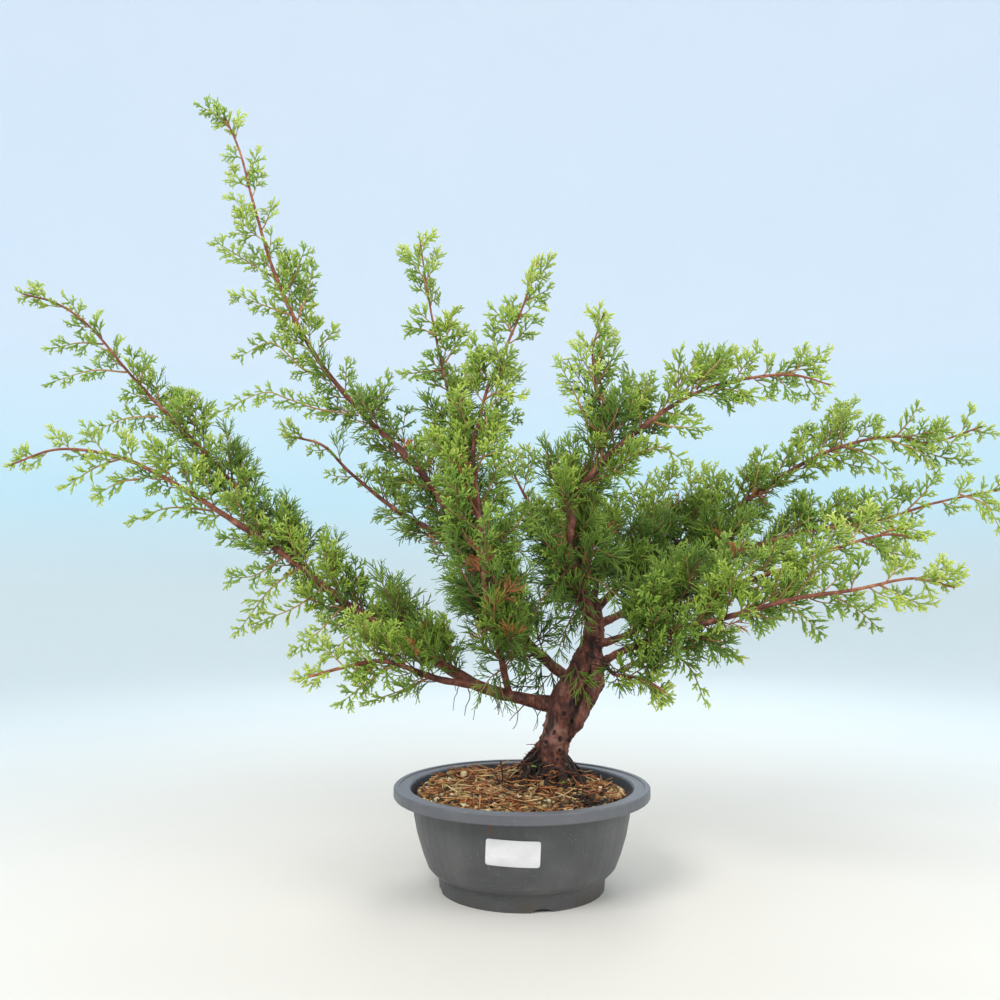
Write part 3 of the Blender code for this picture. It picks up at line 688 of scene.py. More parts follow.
longShoots = {
    "left_high": (
        ((-0.369, 0.050, 0.453), (-0.388, 0.045, 0.453), (-0.406, 0.038, 0.447)),
        ((-0.350, 0.056, 0.429), (-0.378, 0.048, 0.429), (-0.406, 0.040, 0.418)),
        ((-0.323, 0.060, 0.390), (-0.354, 0.066, 0.389), (-0.382, 0.070, 0.378)),
        ((-0.339, 0.058, 0.418), (-0.334, 0.052, 0.428), (-0.329, 0.050, 0.436)),
        ((-0.316, 0.060, 0.387), (-0.314, 0.066, 0.399), (-0.310, 0.070, 0.410)),
        ((-0.285, 0.062, 0.356), (-0.273, 0.056, 0.359), (-0.266, 0.050, 0.365)),
    ),
    "left_low": (
        ((-0.338, 0.015, 0.347), (-0.356, 0.008, 0.339), (-0.373, 0.000, 0.325)),
        ((-0.322, 0.017, 0.330), (-0.336, 0.010, 0.327), (-0.349, 0.004, 0.318)),
        ((-0.263, 0.028, 0.304), (-0.298, 0.022, 0.306), (-0.325, 0.015, 0.295)),
        ((-0.189, 0.034, 0.256), (-0.211, 0.020, 0.237), (-0.233, 0.010, 0.205)),
        ((-0.202, 0.034, 0.265), (-0.226, 0.030, 0.249), (-0.243, 0.020, 0.247)),
        ((-0.169, 0.032, 0.238), (-0.190, 0.020, 0.222), (-0.219, 0.012, 0.210)),
        ((-0.150, 0.030, 0.224), (-0.168, 0.018, 0.203), (-0.185, 0.010, 0.189)),
        ((-0.128, 0.030, 0.210), (-0.146, 0.020, 0.196), (-0.160, 0.014, 0.182)),
    ),
    "tall": (
        ((-0.145, 0.068, 0.392), (-0.158, 0.060, 0.393), (-0.182, 0.050, 0.396), (-0.204, 0.042, 0.403),
         (-0.224, 0.036, 0.407), (-0.262, 0.030, 0.388)),
        ((-0.174, 0.062, 0.428), (-0.192, 0.055, 0.431), (-0.218, 0.045, 0.453), (-0.243, 0.040, 0.441)),
        ((-0.202, 0.053, 0.479), (-0.218, 0.048, 0.484), (-0.246, 0.044, 0.494)),
        ((-0.219, 0.050, 0.513), (-0.236, 0.054, 0.524), (-0.271, 0.060, 0.547)),
        ((-0.209, 0.052, 0.499), (-0.198, 0.046, 0.517), (-0.191, 0.042, 0.534)),
        ((-0.197, 0.054, 0.479), (-0.190, 0.062, 0.505), (-0.188, 0.066, 0.527)),
        ((-0.179, 0.060, 0.453), (-0.173, 0.066, 0.462), (-0.169, 0.070, 0.470)),
        ((-0.134, 0.070, 0.397), (-0.125, 0.062, 0.410), (-0.117, 0.056, 0.420)),
        ((-0.257, 0.037, 0.644), (-0.269, 0.036, 0.656), (-0.281, 0.036, 0.662)),
    ),
    "centre": (
        ((-0.007, -0.010, 0.447), (-0.013, -0.016, 0.456), (-0.021, -0.020, 0.464)),
        ((0.003, -0.010, 0.476), (0.012, -0.004, 0.481), (0.021, 0.000, 0.487)),
        ((-0.018, -0.012, 0.417), (-0.011, -0.004, 0.422), (-0.006, 0.004, 0.417)),
        ((-0.030, -0.018, 0.392), (-0.018, -0.026, 0.397), (-0.005, -0.032, 0.392)),
        ((-0.034, -0.022, 0.366), (-0.020, -0.014, 0.372), (-0.004, -0.006, 0.379)),
        ((-0.035, -0.026, 0.342), (-0.026, -0.036, 0.345), (-0.015, -0.042, 0.348)),
        ((-0.020, -0.012, 0.426), (-0.025, -0.018, 0.428), (-0.029, -0.022, 0.424)),
    ),
    "centre_left": (
        ((-0.079, 0.020, 0.493), (-0.086, 0.014, 0.507), (-0.092, 0.010, 0.515)),
        ((-0.066, 0.014, 0.423), (-0.081, 0.008, 0.420), (-0.095, 0.002, 0.417)),
        ((-0.071, 0.017, 0.453), (-0.083, 0.022, 0.459), (-0.093, 0.026, 0.462)),
        ((-0.071, 0.017, 0.453), (-0.065, 0.012, 0.458), (-0.060, 0.010, 0.465)),
        ((-0.064, 0.014, 0.429), (-0.056, 0.020, 0.445), (-0.051, 0.024, 0.457)),
        ((-0.058, 0.008, 0.400), (-0.046, 0.002, 0.416), (-0.034, -0.004, 0.433)),
    ),
    "right_sprout": (
        ((0.059, -0.036, 0.364), (0.051, -0.040, 0.372), (0.041, -0.042, 0.394), (0.031, -0.044, 0.413)),
        ((0.059, -0.036, 0.395), (0.054, -0.040, 0.410), (0.044, -0.042, 0.426)),
        ((0.061, -0.033, 0.421), (0.066, -0.030, 0.430), (0.069, -0.028, 0.440)),
    ),
    "right_tall": (
        ((0.139, -0.035, 0.397), (0.151, -0.040, 0.410), (0.164, -0.044, 0.422)),
        ((0.105, -0.035, 0.371), (0.117, -0.046, 0.366), (0.139, -0.052, 0.364)),
        ((0.074, -0.030, 0.348), (0.091, -0.040, 0.346), (0.109, -0.050, 0.349), (0.122, -0.056, 0.339)),
        ((0.094, -0.034, 0.365), (0.094, -0.026, 0.386), (0.090, -0.020, 0.404), (0.087, -0.016, 0.417)),
        ((0.152, -0.034, 0.399), (0.169, -0.040, 0.395), (0.184, -0.046, 0.389)),
        ((0.191, -0.032, 0.407), (0.213, -0.026, 0.413), (0.236, -0.022, 0.417)),
        ((0.122, -0.035, 0.385), (0.135, -0.028, 0.402), (0.148, -0.024, 0.413)),
    ),
    "right_mid": (
        ((0.283, 0.050, 0.362), (0.281, 0.044, 0.380), (0.279, 0.040, 0.394)),
        ((0.242, 0.056, 0.342), (0.248, 0.064, 0.360), (0.256, 0.068, 0.378)),
        ((0.283, 0.050, 0.362), (0.304, 0.040, 0.353), (0.321, 0.034, 0.337)),
        ((0.206, 0.060, 0.318), (0.209, 0.054, 0.337), (0.214, 0.050, 0.357)),
        ((0.329, 0.045, 0.370), (0.342, 0.050, 0.383), (0.352, 0.054, 0.397)),
        ((0.337, 0.045, 0.367), (0.366, 0.052, 0.354), (0.398, 0.056, 0.350)),
        ((0.315, 0.046, 0.370), (0.347, 0.038, 0.355), (0.357, 0.034, 0.338)),
        ((0.269, 0.052, 0.357), (0.289, 0.060, 0.348), (0.311, 0.064, 0.344)),
    ),
    "right_low": (
        ((0.333, 0.040, 0.303), (0.348, 0.034, 0.320), (0.357, 0.030, 0.336)),
        ((0.384, 0.046, 0.319), (0.404, 0.042, 0.310), (0.414, 0.040, 0.291)),
        ((0.302, 0.038, 0.296), (0.318, 0.046, 0.312), (0.334, 0.052, 0.323)),
        ((0.284, 0.037, 0.293), (0.306, 0.028, 0.275), (0.326, 0.024, 0.268)),
        ((0.258, 0.036, 0.288), (0.269, 0.028, 0.304), (0.281, 0.022, 0.315)),
    ),
    "right_front": (
        ((0.245, -0.095, 0.275), (0.265, -0.090, 0.268), (0.285, -0.086, 0.263)),
        ((0.258, -0.100, 0.280), (0.271, -0.104, 0.284), (0.285, -0.108, 0.281)),
    ),
    "right_bottom": (
        ((0.221, -0.098, 0.236), (0.241, -0.094, 0.226), (0.257, -0.090, 0.213)),
        ((0.188, -0.086, 0.229), (0.206, -0.080, 0.220), (0.220, -0.076, 0.208)),
        ((0.129, -0.048, 0.209), (0.144, -0.056, 0.200), (0.157, -0.060, 0.189)),
        ((0.109, -0.030, 0.198), (0.131, -0.036, 0.177), (0.140, -0.040, 0.155)),
        ((0.253, -0.110, 0.243), (0.269, -0.114, 0.234), (0.279, -0.118, 0.230)),
        ((0.276, -0.116, 0.247), (0.290, -0.112, 0.252), (0.300, -0.108, 0.256)),
    ),
    "right_under": (
        ((0.094, -0.022, 0.166), (0.103, -0.024, 0.160), (0.110, -0.026, 0.153)),
    ),
    "left_under": (
        ((-0.075, 0.008, 0.165), (-0.097, -0.004, 0.156), (-0.120, -0.014, 0.149)),
        ((-0.102, -0.012, 0.178), (-0.121, -0.022, 0.166), (-0.139, -0.030, 0.152)),
    ),
}

# Sprays that hang round the trunk: tone, share of fans, and way-points

innerShoots = {
    "centre": (
        (0.30, 0.0, ((-0.0180, 0.018, 0.163), (-0.0165, 0.010, 0.155), (-0.0140, 0.006, 0.147))),
        (0.55, 0.0, ((-0.0150, 0.010, 0.172), (-0.0250, 0.000, 0.166), (-0.0310, -0.006, 0.158))),
        (0.40, 0.0, ((-0.0170, -0.002, 0.188), (-0.0040, -0.006, 0.186), (0.0060, -0.008, 0.181))),
        (0.45, 0.0, ((-0.0220, -0.014, 0.212), (-0.0080, -0.016, 0.208), (0.0050, -0.016, 0.198))),
        (0.60, 0.3, ((-0.0280, -0.024, 0.236), (-0.0120, -0.026, 0.238), (0.0030, -0.026, 0.232))),
        (0.50, 0.3, ((-0.0320, -0.028, 0.262), (-0.0160, -0.024, 0.268), (0.0020, -0.020, 0.268))),
    ),
    "tall": (
        (0.10, 0.0, ((0.0295, 0.042, 0.168), (0.0220, 0.038, 0.160), (0.0150, 0.036, 0.151))),
        (0.20, 0.0, ((0.0200, 0.048, 0.176), (0.0120, 0.040, 0.166), (0.0040, 0.036, 0.160))),
        (0.15, 0.0, ((0.0060, 0.056, 0.190), (-0.0040, 0.046, 0.180), (-0.0120, 0.040, 0.168))),
        (0.25, 0.0, ((0.0100, 0.054, 0.188), (0.0200, 0.046, 0.196), (0.0300, 0.040, 0.206))),
        (0.35, 0.0, ((-0.0050, 0.064, 0.202), (0.0080, 0.056, 0.212), (0.0180, 0.050, 0.226))),
        (0.30, 0.0, ((-0.0180, 0.070, 0.216), (-0.0060, 0.062, 0.230), (0.0040, 0.058, 0.246))),
        (0.40, 0.0, ((-0.0300, 0.076, 0.232), (-0.0180, 0.070, 0.250), (-0.0080, 0.064, 0.268))),
    ),
    "right_tall": (
        (0.85, 0.6, ((0.0440, 0.014, 0.176), (0.0475, 0.009, 0.166), (0.0510, 0.007, 0.156))),
        (0.30, 0.0, ((0.0500, 0.010, 0.240), (0.0440, 0.002, 0.222), (0.0360, -0.002, 0.205),
                     (0.0310, -0.002, 0.190))),
        (0.40, 0.0, ((0.0500, 0.008, 0.240), (0.0520, 0.000, 0.224), (0.0490, -0.004, 0.206))),
        (0.35, 0.0, ((0.0440, 0.004, 0.258), (0.0300, -0.004, 0.246), (0.0180, -0.008, 0.232),
                     (0.0100, -0.008, 0.216))),
        (0.50, 0.2, ((0.0480, 0.006, 0.250), (0.0640, -0.004, 0.244), (0.0780, -0.012, 0.232))),
        (0.55, 0.2, ((0.0420, -0.002, 0.272), (0.0600, -0.010, 0.270), (0.0760, -0.016, 0.264))),
        (0.45, 0.2, ((0.0420, -0.004, 0.276), (0.0280, -0.010, 0.282), (0.0140, -0.014, 0.284))),
        (0.25, 0.0, ((0.0580, 0.022, 0.222), (0.0440, 0.012, 0.214), (0.0340, 0.008, 0.200))),
    ),
    "right_bottom": (
        (0.45, 0.2, ((0.0700, 0.012, 0.180), (0.0760, 0.002, 0.172), (0.0790, -0.004, 0.162))),
        (0.35, 0.2, ((0.0900, -0.010, 0.192), (0.0960, -0.020, 0.182), (0.0980, -0.026, 0.170))),
    ),
}


# Leaf sprays, grown once in several forms and then set all over the tree. A fan is a flat palm of
# scale-leaved sprigs, a tuft is the looser needle growth of the shaded parts.

sprayHabit = {
    "fanLengths": (0.0080, 0.0100, 0.0122, 0.0150),
    "tuftLengths": (0.0090, 0.0120, 0.0155),
    "formsPerLength": 6,
    "fanGap": 0.0022,  # between one side sprig and the next
    "tuftGap": 0.0016,
    "fanRadius": 0.00086,
    "tuftRadius": 0.00054,
    "sprigTurn": (0.55, 0.88),  # radians from a sprig to its side sprigs
    "sprigLift": 0.35,
    "sprigShare": (0.56, 0.44),  # a side sprig's length, as a share of its parent's
    "shortestSprig": 0.0013,
    "needleTwist": 2.4,  # radians round the stem from one needle to the next
    "needleTilt": (0.30, 0.72),
    "needleLong": (0.0058, 0.0104),
}


def sprigArrays(start, heading, curl, long, rings, radius, age, ageEnd, tone):
    # a short three-sided sprig with a blunt point
    part = np.linspace(0, 1, rings + 1)
    line = start + np.outer(part, heading) * long + np.outer(part ** 2, curl) * long
    points, faces = tubeArrays(line, radius * np.minimum(1.0, 1.4 - 0.8 * part), 3)
    ages = np.append(np.repeat(age + (ageEnd - age) * part, 3), ageEnd)
    around = np.append(np.tile((0.0, 0.012, 0.024), rings + 1), 0.012)
    return points, faces, ages, tone + around


def growFan(rng, length):
    # lies flat in X and Y and points along X
    shapes = []

    def sprig(start, angle, lift, long, level, age):
        heading = np.array([math.cos(angle), math.sin(angle), lift])
        aside = np.array([-math.sin(angle), math.cos(angle), 0.0])
        curl = aside * (rng.uniform(-0.22, 0.22) if level == 0 else -0.3 * np.sign(angle) * rng.random())
        radius = sprayHabit["fanRadius"] * (1.0, 0.95, 0.88)[level]
        ageEnd = age + (0.40, 0.30, 0.22)[level]
        rings = (4, 2, 1)[level]
        shapes.append(sprigArrays(start, heading, curl, long, rings, radius, age, ageEnd, rng.random()))
        if level == 2:
            return
        turn = rng.choice((-1, 1))
        place = long * (0.20, 0.34)[level]
        while place < 0.94 * long:
            far = place / long
            child = long * sprayHabit["sprigShare"][level] * (1 - 0.42 * far) * rng.uniform(0.8, 1.2)
            if child > sprayHabit["shortestSprig"]:
                at = start + heading * long * far + curl * long * far ** 2
                swing = turn * rng.uniform(*sprayHabit["sprigTurn"])
                rise = rng.uniform(-sprayHabit["sprigLift"], sprayHabit["sprigLift"])
                sprig(at, angle + swing, lift + rise, child, level + 1, age + 0.35 * far + 0.05)
            turn = -turn
            place += sprayHabit["fanGap"] * (1.0, 0.85)[level] * rng.uniform(0.8, 1.25)

    sprig(np.zeros(3), 0.0, 0.0, length, 0, 0.0)
    return joinArrays(shapes)


def growTuft(rng, length):
    # needles all round a thin axis along X, flatter than it is wide
    radius = sprayHabit["tuftRadius"]
    axis = np.array([1.0, 0.0, 0.0])
    curl = np.array([0.0, rng.uniform(-0.25, 0.25), rng.uniform(-0.25, 0.1)])
    shapes = [sprigArrays(np.zeros(3), axis, curl, length, 3, radius, 0.0, 0.5, rng.random())]
    around = rng.uniform(0, math.tau)
    place = 0.10 * length
    while place < length:
        far = place / length
        around += sprayHabit["needleTwist"]
        tilt = rng.uniform(*sprayHabit["needleTilt"])
        out = math.sin(tilt)
        heading = np.array([math.cos(tilt), out * math.cos(around), 0.6 * out * math.sin(around)])
        long = rng.uniform(*sprayHabit["needleLong"]) * (1.1 - 0.40 * far)
        at = axis * length * far + curl * length * far ** 2
        age = 0.35 * far + 0.05
        shapes.append(sprigArrays(at, heading, curl * 0.6, long, 1, radius * 0.92, age, age + 0.40,
                                  rng.random()))
        place += sprayHabit["tuftGap"] * rng.uniform(0.8, 1.2)
    return joinArrays(shapes)


def growSprays():
    # one list: the fans, shortest first, and then the tufts
    rng = random.Random(11)
    fans = [(length, *growFan(rng, length)) for length in sprayHabit["fanLengths"]
            for _ in range(sprayHabit["formsPerLength"])]
    tufts = [(length, *growTuft(rng, length)) for length in sprayHabit["tuftLengths"]
             for _ in range(sprayHabit["formsPerLength"])]
    return fans + tufts, len(fans)


def stampSprays(grown, placings):
    # placings are (form, start, forward, sideways, size, droop, age, ageSpan, tone)
    shapes = []
    for form in sorted({placing[0] for placing in placings}):
        _, points, faces, ages, tones = grown[form]
        mine = [placing for placing in placings if placing[0] == form]
        start, forward, sideways, *others = (np.array(column) for column in list(zip(*mine))[1:])
        size, droop, age, span, tone = (column[:, None] for column in others)
        above = np.cross(forward, sideways)
        x, y, z = (points[:, axis][None] * size for axis in range(3))
        z = z - droop * x ** 2
        world = (start[:, None] + x[..., None] * forward[:, None] + y[..., None] * sideways[:, None]
                 + z[..., None] * above[:, None])
        allFaces = (faces[None] + (np.arange(len(mine)) * len(points))[:, None, None]).reshape(-1, 3)
        allAges = (age + span * ages[None]).ravel()
        allTones = (0.05 + 0.22 * tones[None] + 0.68 * tone).ravel()
        shapes.append((world.reshape(-1, 3), allFaces, allAges, allTones))
    return joinArrays(shapes)


# How shoots grow along a limb: close together, long and needled near the trunk, and farther apart,
# short and fanned near the limb's end

shootHabit = {
    "far": (0.0, 0.25, 0.50, 0.80, 1.0),  # share of the limb; the next five lists follow it
    "gap": (0.0027, 0.0031, 0.0048, 0.0120, 0.0180),
    "long": (0.046, 0.050, 0.044, 0.030, 0.019),
    "scatter": (1.6, 1.4, 0.95, 0.65, 0.5),  # radians from straight above or below the limb
    "fanShare": (0.15, 0.40, 0.85, 1.0, 1.0),
    "openFront": (0.20, 0.60, 0.65, 0.25, 0.0),  # share of the shoots trimmed off a limb's front
    "step": 0.004,
    "angle": (0.65, 1.10),  # radians from the limb
    "hanging": 0.72,  # length of a shoot that hangs, as a share of the others'
    "bareUnderUntil": 0.3,  # share of the limb
    "lean": 0.05,  # how fast a shoot turns up toward the light
    "pull": 0.07,  # and along the limb
    "wander": 0.09,
    "fanGap": 0.0043,
    "tuftGap": 0.0038,
    "fanLong": 0.0108,
    "tuftLong": 0.0135,
    "deadShare": 0.07,
    "sprayTurn": (0.60, 0.98),  # radians from the shoot
    "droop": (-12.0, 22.0),
    "thick": (0.00055, 0.00080),  # at the base, from the limb's tip to its foot
    "tipThick": 0.00042,
    "sideShootFrom": 0.030,  # a shoot at least this long has side shoots of its own
    "sideShootsAt": (0.3, 0.55),
    "sideShootLong": (0.32, 0.5),
    "sideShootThick": 0.00048,
}
limbFullness = {  # longer or shorter shoots than usual
    "left_low": 0.90, "left_high": 0.78, "left_under": 0.90, "tall": 0.95, "back_left": 0.75,
    "centre": 1.05, "centre_left": 0.66, "right_tall": 1.10, "right_sprout": 0.62, "right_mid": 0.90,
    "right_low": 0.85, "right_front": 0.85, "right_bottom": 0.80, "right_under": 0.70, "back_right": 1.0,
    "back_centre": 1.1,
}
limbPaleness = {"back_left": 0.80, "back_right": 0.75}  # least tone of a shoot
limbThinness = {"back_left": 2.0, "back_right": 1.5}  # how much wider the gaps between shoots are
# share of the hanging shoots missing near the trunk
limbBareUnder = {"left_low": 0.9, "left_under": 0.6, "tall": 0.2, "right_bottom": 0.5}
leafPieceLimit = 180000  # faces in one piece of leaves
reach = {  # nothing may grow past these, a little inside the allowed room
    "low": np.array([cadBox[0][0] - 0.026, cadBox[0][1] - 0.013, 0.095]),
    "high": np.array([cadBox[1][0] + 0.026, cadBox[1][1] + 0.013, cadBox[1][2] + 0.022]),
}


def inReach(place):
    return bool((place > reach["low"]).all() and (place < reach["high"]).all())


def habitAt(label, far):
    return float(np.interp(far, shootHabit["far"], shootHabit[label]))


def nudge(rng, size):
    return np.array([rng.uniform(-size, size) for _ in range(3)])


def shootLine(rng, start, heading, long, pull):
    line = [start]
    for _ in range(max(3, round(long / shootHabit["step"]))):
        heading = unit(heading + shootHabit["lean"] * up + shootHabit["pull"] * pull
                       + nudge(rng, shootHabit["wander"]))
        line.append(line[-1] + heading * shootHabit["step"])
    return np.array(line)


def outward(ahead, around):
    # a direction away from the limb; steep limbs carry their shoots to the left and right
    steep = min(1.0, max(0.0, (abs(ahead[2]) - 0.45) / 0.35))
    plane = up * (1 - steep) + np.array([1.0, 0.0, 0.0]) * steep
    plane = unit(plane - ahead * (plane @ ahead))
    return plane * math.cos(around) + np.cross(ahead, plane) * math.sin(around), steep


def leafShoot(rng, line, far, tone, fanShare, thick, bag, firstLeaf=0.16):
    # sprays alternate along the shoot's line, with one more at its end
    forward = framesAlong(line)[0]
    along = lengthAlong(line)
    normal = unit(np.array([rng.gauss(0, 0.5), -1.0, rng.gauss(0, 0.55)]))
    side = rng.choice((-1, 1))
    dead = fanShare < 0.8 and rng.random() < shootHabit["deadShare"]
    if dead:
        line = line[:max(4, len(line) // 3)]
        forward, along = forward[:len(line)], along[:len(line)]
    length = along[-1]
    fans = rng.random() < fanShare
    place = max(firstLeaf * length, 0.0025)
    last = False
    while not last:
        last = place >= length - 0.0015
        share = min(place / length, 1.0)
        index = min(int(np.searchsorted(along, place)), len(line) - 1)
        ahead = forward[index]
        flat = unit(np.cross(normal, ahead) + 0.01)
        turn = 0.0 if last else side * rng.uniform(*shootHabit["sprayTurn"])
        heading = unit(ahead * math.cos(turn) + flat * math.sin(turn) + up * rng.uniform(-0.05, 0.28))
        tilted = unit(normal + nudge(rng, 0.45))
        across = unit(np.cross(tilted, heading))
        wanted = shootHabit["fanLong"] if fans else shootHabit["tuftLong"]
        wanted *= (1.25 - 0.40 * share) * rng.uniform(0.75, 1.22) * (0.75 if dead else 1.0)
        form = bag["pick"](rng, fans, wanted)
        if inReach(line[index] + heading * wanted):
            if dead:
                age, span = rng.uniform(0.0, 0.05), 0.0
            else:
                # a low age near the trunk gives older, darker green that also stands for painted shade
                age = 0.12 + 0.30 * far + 0.14 * share + (0.06 if fans else 0.0)
                span = rng.uniform(0.60, 1.0) * (0.62 if fans else 0.42) + 0.15 * far
            droop = rng.uniform(*shootHabit["droop"])
            own = min(1.0, max(0.0, tone + rng.uniform(-0.22, 0.22)))
            bag["sprays"].append((form, line[index], heading, across, wanted / bag["grown"][form][0],
                                  droop, age, span, own))
        side = -side
        place += (shootHabit["fanGap"] if fans else shootHabit["tuftGap"]) * rng.uniform(0.75, 1.35)
    points, faces = tubeArrays(line, np.linspace(thick, shootHabit["tipThick"], len(line)), 5)
    start = 0.10 if dead else 0.10 + 0.42 * far
    end = start + 0.26 + 0.24 * far
    ages = np.append(np.repeat(np.linspace(start, end, len(line)), 5), end)
    around = np.append(np.tile(np.arange(5) * 0.02, len(line)), 0.04)
    bag["stems"].append((points, faces, ages, 0.8 * rng.random() + around))


def growLimbLeaves(name, grown, fanCount):
    leafStart, wayPoints = limbs[name][2:]
    rng = random.Random(name)
    step = 0.003
    line = smoothLine(wayPoints, step)
    forward = framesAlong(line)[0]
    total = step * (len(line) - 1)

    def pick(rng, fans, wanted):
        choice = range(fanCount) if fans else range(fanCount, len(grown))
        return min(choice, key=lambda form: abs(wanted - grown[form][0]) + rng.uniform(0, 0.0016))

    bag = {"grown": grown, "pick": pick, "sprays": [], "stems": []}
    thin, thick = shootHabit["thick"]
    place = leafStart * total
    above = True
    while place < total - 0.006:
        far = place / total
        index = min(round(place / step), len(line) - 1)
        fanShare = habitAt("fanShare", far)
        long = habitAt("long", far) * limbFullness[name] * rng.uniform(0.50, 1.25)
        around = (0.0 if above else math.pi) + rng.gauss(0, 1) * habitAt("scatter", far)
        ahead = forward[index]
        radial, steep = outward(ahead, around)
        if radial[2] < -0.3:
            long *= shootHabit["hanging"]
        angle = rng.uniform(*shootHabit["angle"])
        heading = unit(ahead * math.cos(angle) + radial * math.sin(angle))
        shoot = shootLine(rng, line[index], heading, long, ahead)
        tone = max(rng.random(), limbPaleness.get(name, 0.0))
        above = not above
        place += habitAt("gap", far) * limbThinness.get(name, 1.0) * rng.uniform(0.7, 1.3)
        nearUnder = radial[2] < -0.4 and far < shootHabit["bareUnderUntil"]
        if nearUnder and rng.random() < limbBareUnder.get(name, 0.0):
            continue
        if radial[1] < -0.35 and rng.random() < habitAt("openFront", far) * (0.45 + 0.55 * steep):
            continue
        if not inReach(shoot[-1]):
            continue
        leafShoot(rng, shoot, far, tone, fanShare, thin + (thick - thin) * (1 - far), bag)
        if long > shootHabit["sideShootFrom"]:
            for at in shootHabit["sideShootsAt"]:
                root = round(at * (len(shoot) - 1))
                out = unit(shoot[root + 1] - shoot[root])
                heading = unit(out + unit(np.cross(out, nudge(rng, 1.0))) * rng.uniform(0.7, 1.1))
                twigLong = long * rng.uniform(*shootHabit["sideShootLong"])
                twig = shootLine(rng, shoot[root], heading, twigLong, out)
                leafShoot(rng, twig, far, tone, fanShare, shootHabit["sideShootThick"], bag)
    for points in longShoots.get(name, ()):
        leafShoot(rng, smoothLine(points, shootHabit["step"]), 0.75, rng.random(), 1.0, 0.0010, bag)
    for tone, fanShare, points in innerShoots.get(name, ()):
        leafShoot(rng, smoothLine(points, shootHabit["step"]), 0.22, tone, fanShare, 0.0007, bag)
    leafShoot(rng, line[-9:-1], 0.95, 0.7, 1.0, 0.0008, bag, firstLeaf=0.2)
    return bag["sprays"], bag["stems"]


def leafPieces(name, placings, stems, grown, leafGreen, twigSkin):
    points, faces, ages, tones = stampSprays(grown, placings)
    ages = np.clip(ages, 0.0, 1.0)
    count = len(faces)
    parts = 1 + count // leafPieceLimit
    order = np.argsort(points[faces[:, 0], 0], kind="stable") if parts > 1 else np.arange(count)
    for number, chosen in enumerate(np.array_split(order, parts)):
        used, small = np.unique(faces[np.sort(chosen)], return_inverse=True)
        label = name + "_leaves" + (f"_{number + 1}" if parts > 1 else "")
        leaves = meshPiece(label, points[used], small.reshape(-1, 3), leafGreen,
                           {"age": ages[used], "tone": np.clip(tones[used], 0, 1)})
        layColourMap(leaves, ages[used], tones[used])
        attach(leaves, "root")
        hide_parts(name + "_foliage")
    points, faces, ages, tones = joinArrays(stems)
    twigs = meshPiece(name + "_twigs", points, faces, twigSkin, {"age": ages, "tone": np.clip(tones, 0, 1)})
    layColourMap(twigs, ages, tones)
    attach(twigs, "root")
    return count


# Bark of the limbs

barkHabit = {
    "step": 0.0018,
    "sides": 14,
    "flute": 0.10,  # lengthwise ridges, as a share of the radius
    "lumps": 0.16,
    "nodeSwell": 0.22,  # swelling where shoots leave
    "taper": 0.8,
}


def limbWood(name, branchBark):
    baseRadius, tipRadius, _, wayPoints = limbs[name]
    line = smoothLine(wayPoints, barkHabit["step"])
    count, sides = len(line), barkHabit["sides"]
    part = np.linspace(0, 1, count)
    radii = baseRadius + (tipRadius - baseRadius) * part ** barkHabit["taper"]
    seed = random.Random(name).uniform(0, 50)
    radii = np.repeat(radii[:, None], sides, 1)
    for row in range(count):
        swell = max(0.0, noise.noise((row * 0.16, seed, 3.0))) * barkHabit["nodeSwell"]
        for column in range(sides):
            turn = column * math.tau / sides
            ridge = noise.noise((2.2 * math.cos(turn), 2.2 * math.sin(turn), seed + row * 0.03))
            lump = noise.noise((1.4 * math.cos(turn) + 9, 1.4 * math.sin(turn), seed + row * 0.22))
            radii[row, column] *= 1 + barkHabit["flute"] * ridge + barkHabit["lumps"] * lump + swell
    points, faces = tubeArrays(line, radii, sides)
    ages = np.append(np.repeat(part, sides), 1.0)
    wood = meshPiece(name + "_wood", points, faces, branchBark, {"age": ages})
    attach(wood, "root")
    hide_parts(name + "_branch")


# Trunk: the same way-points as the frame's, fused into one skin with its ridge and roots

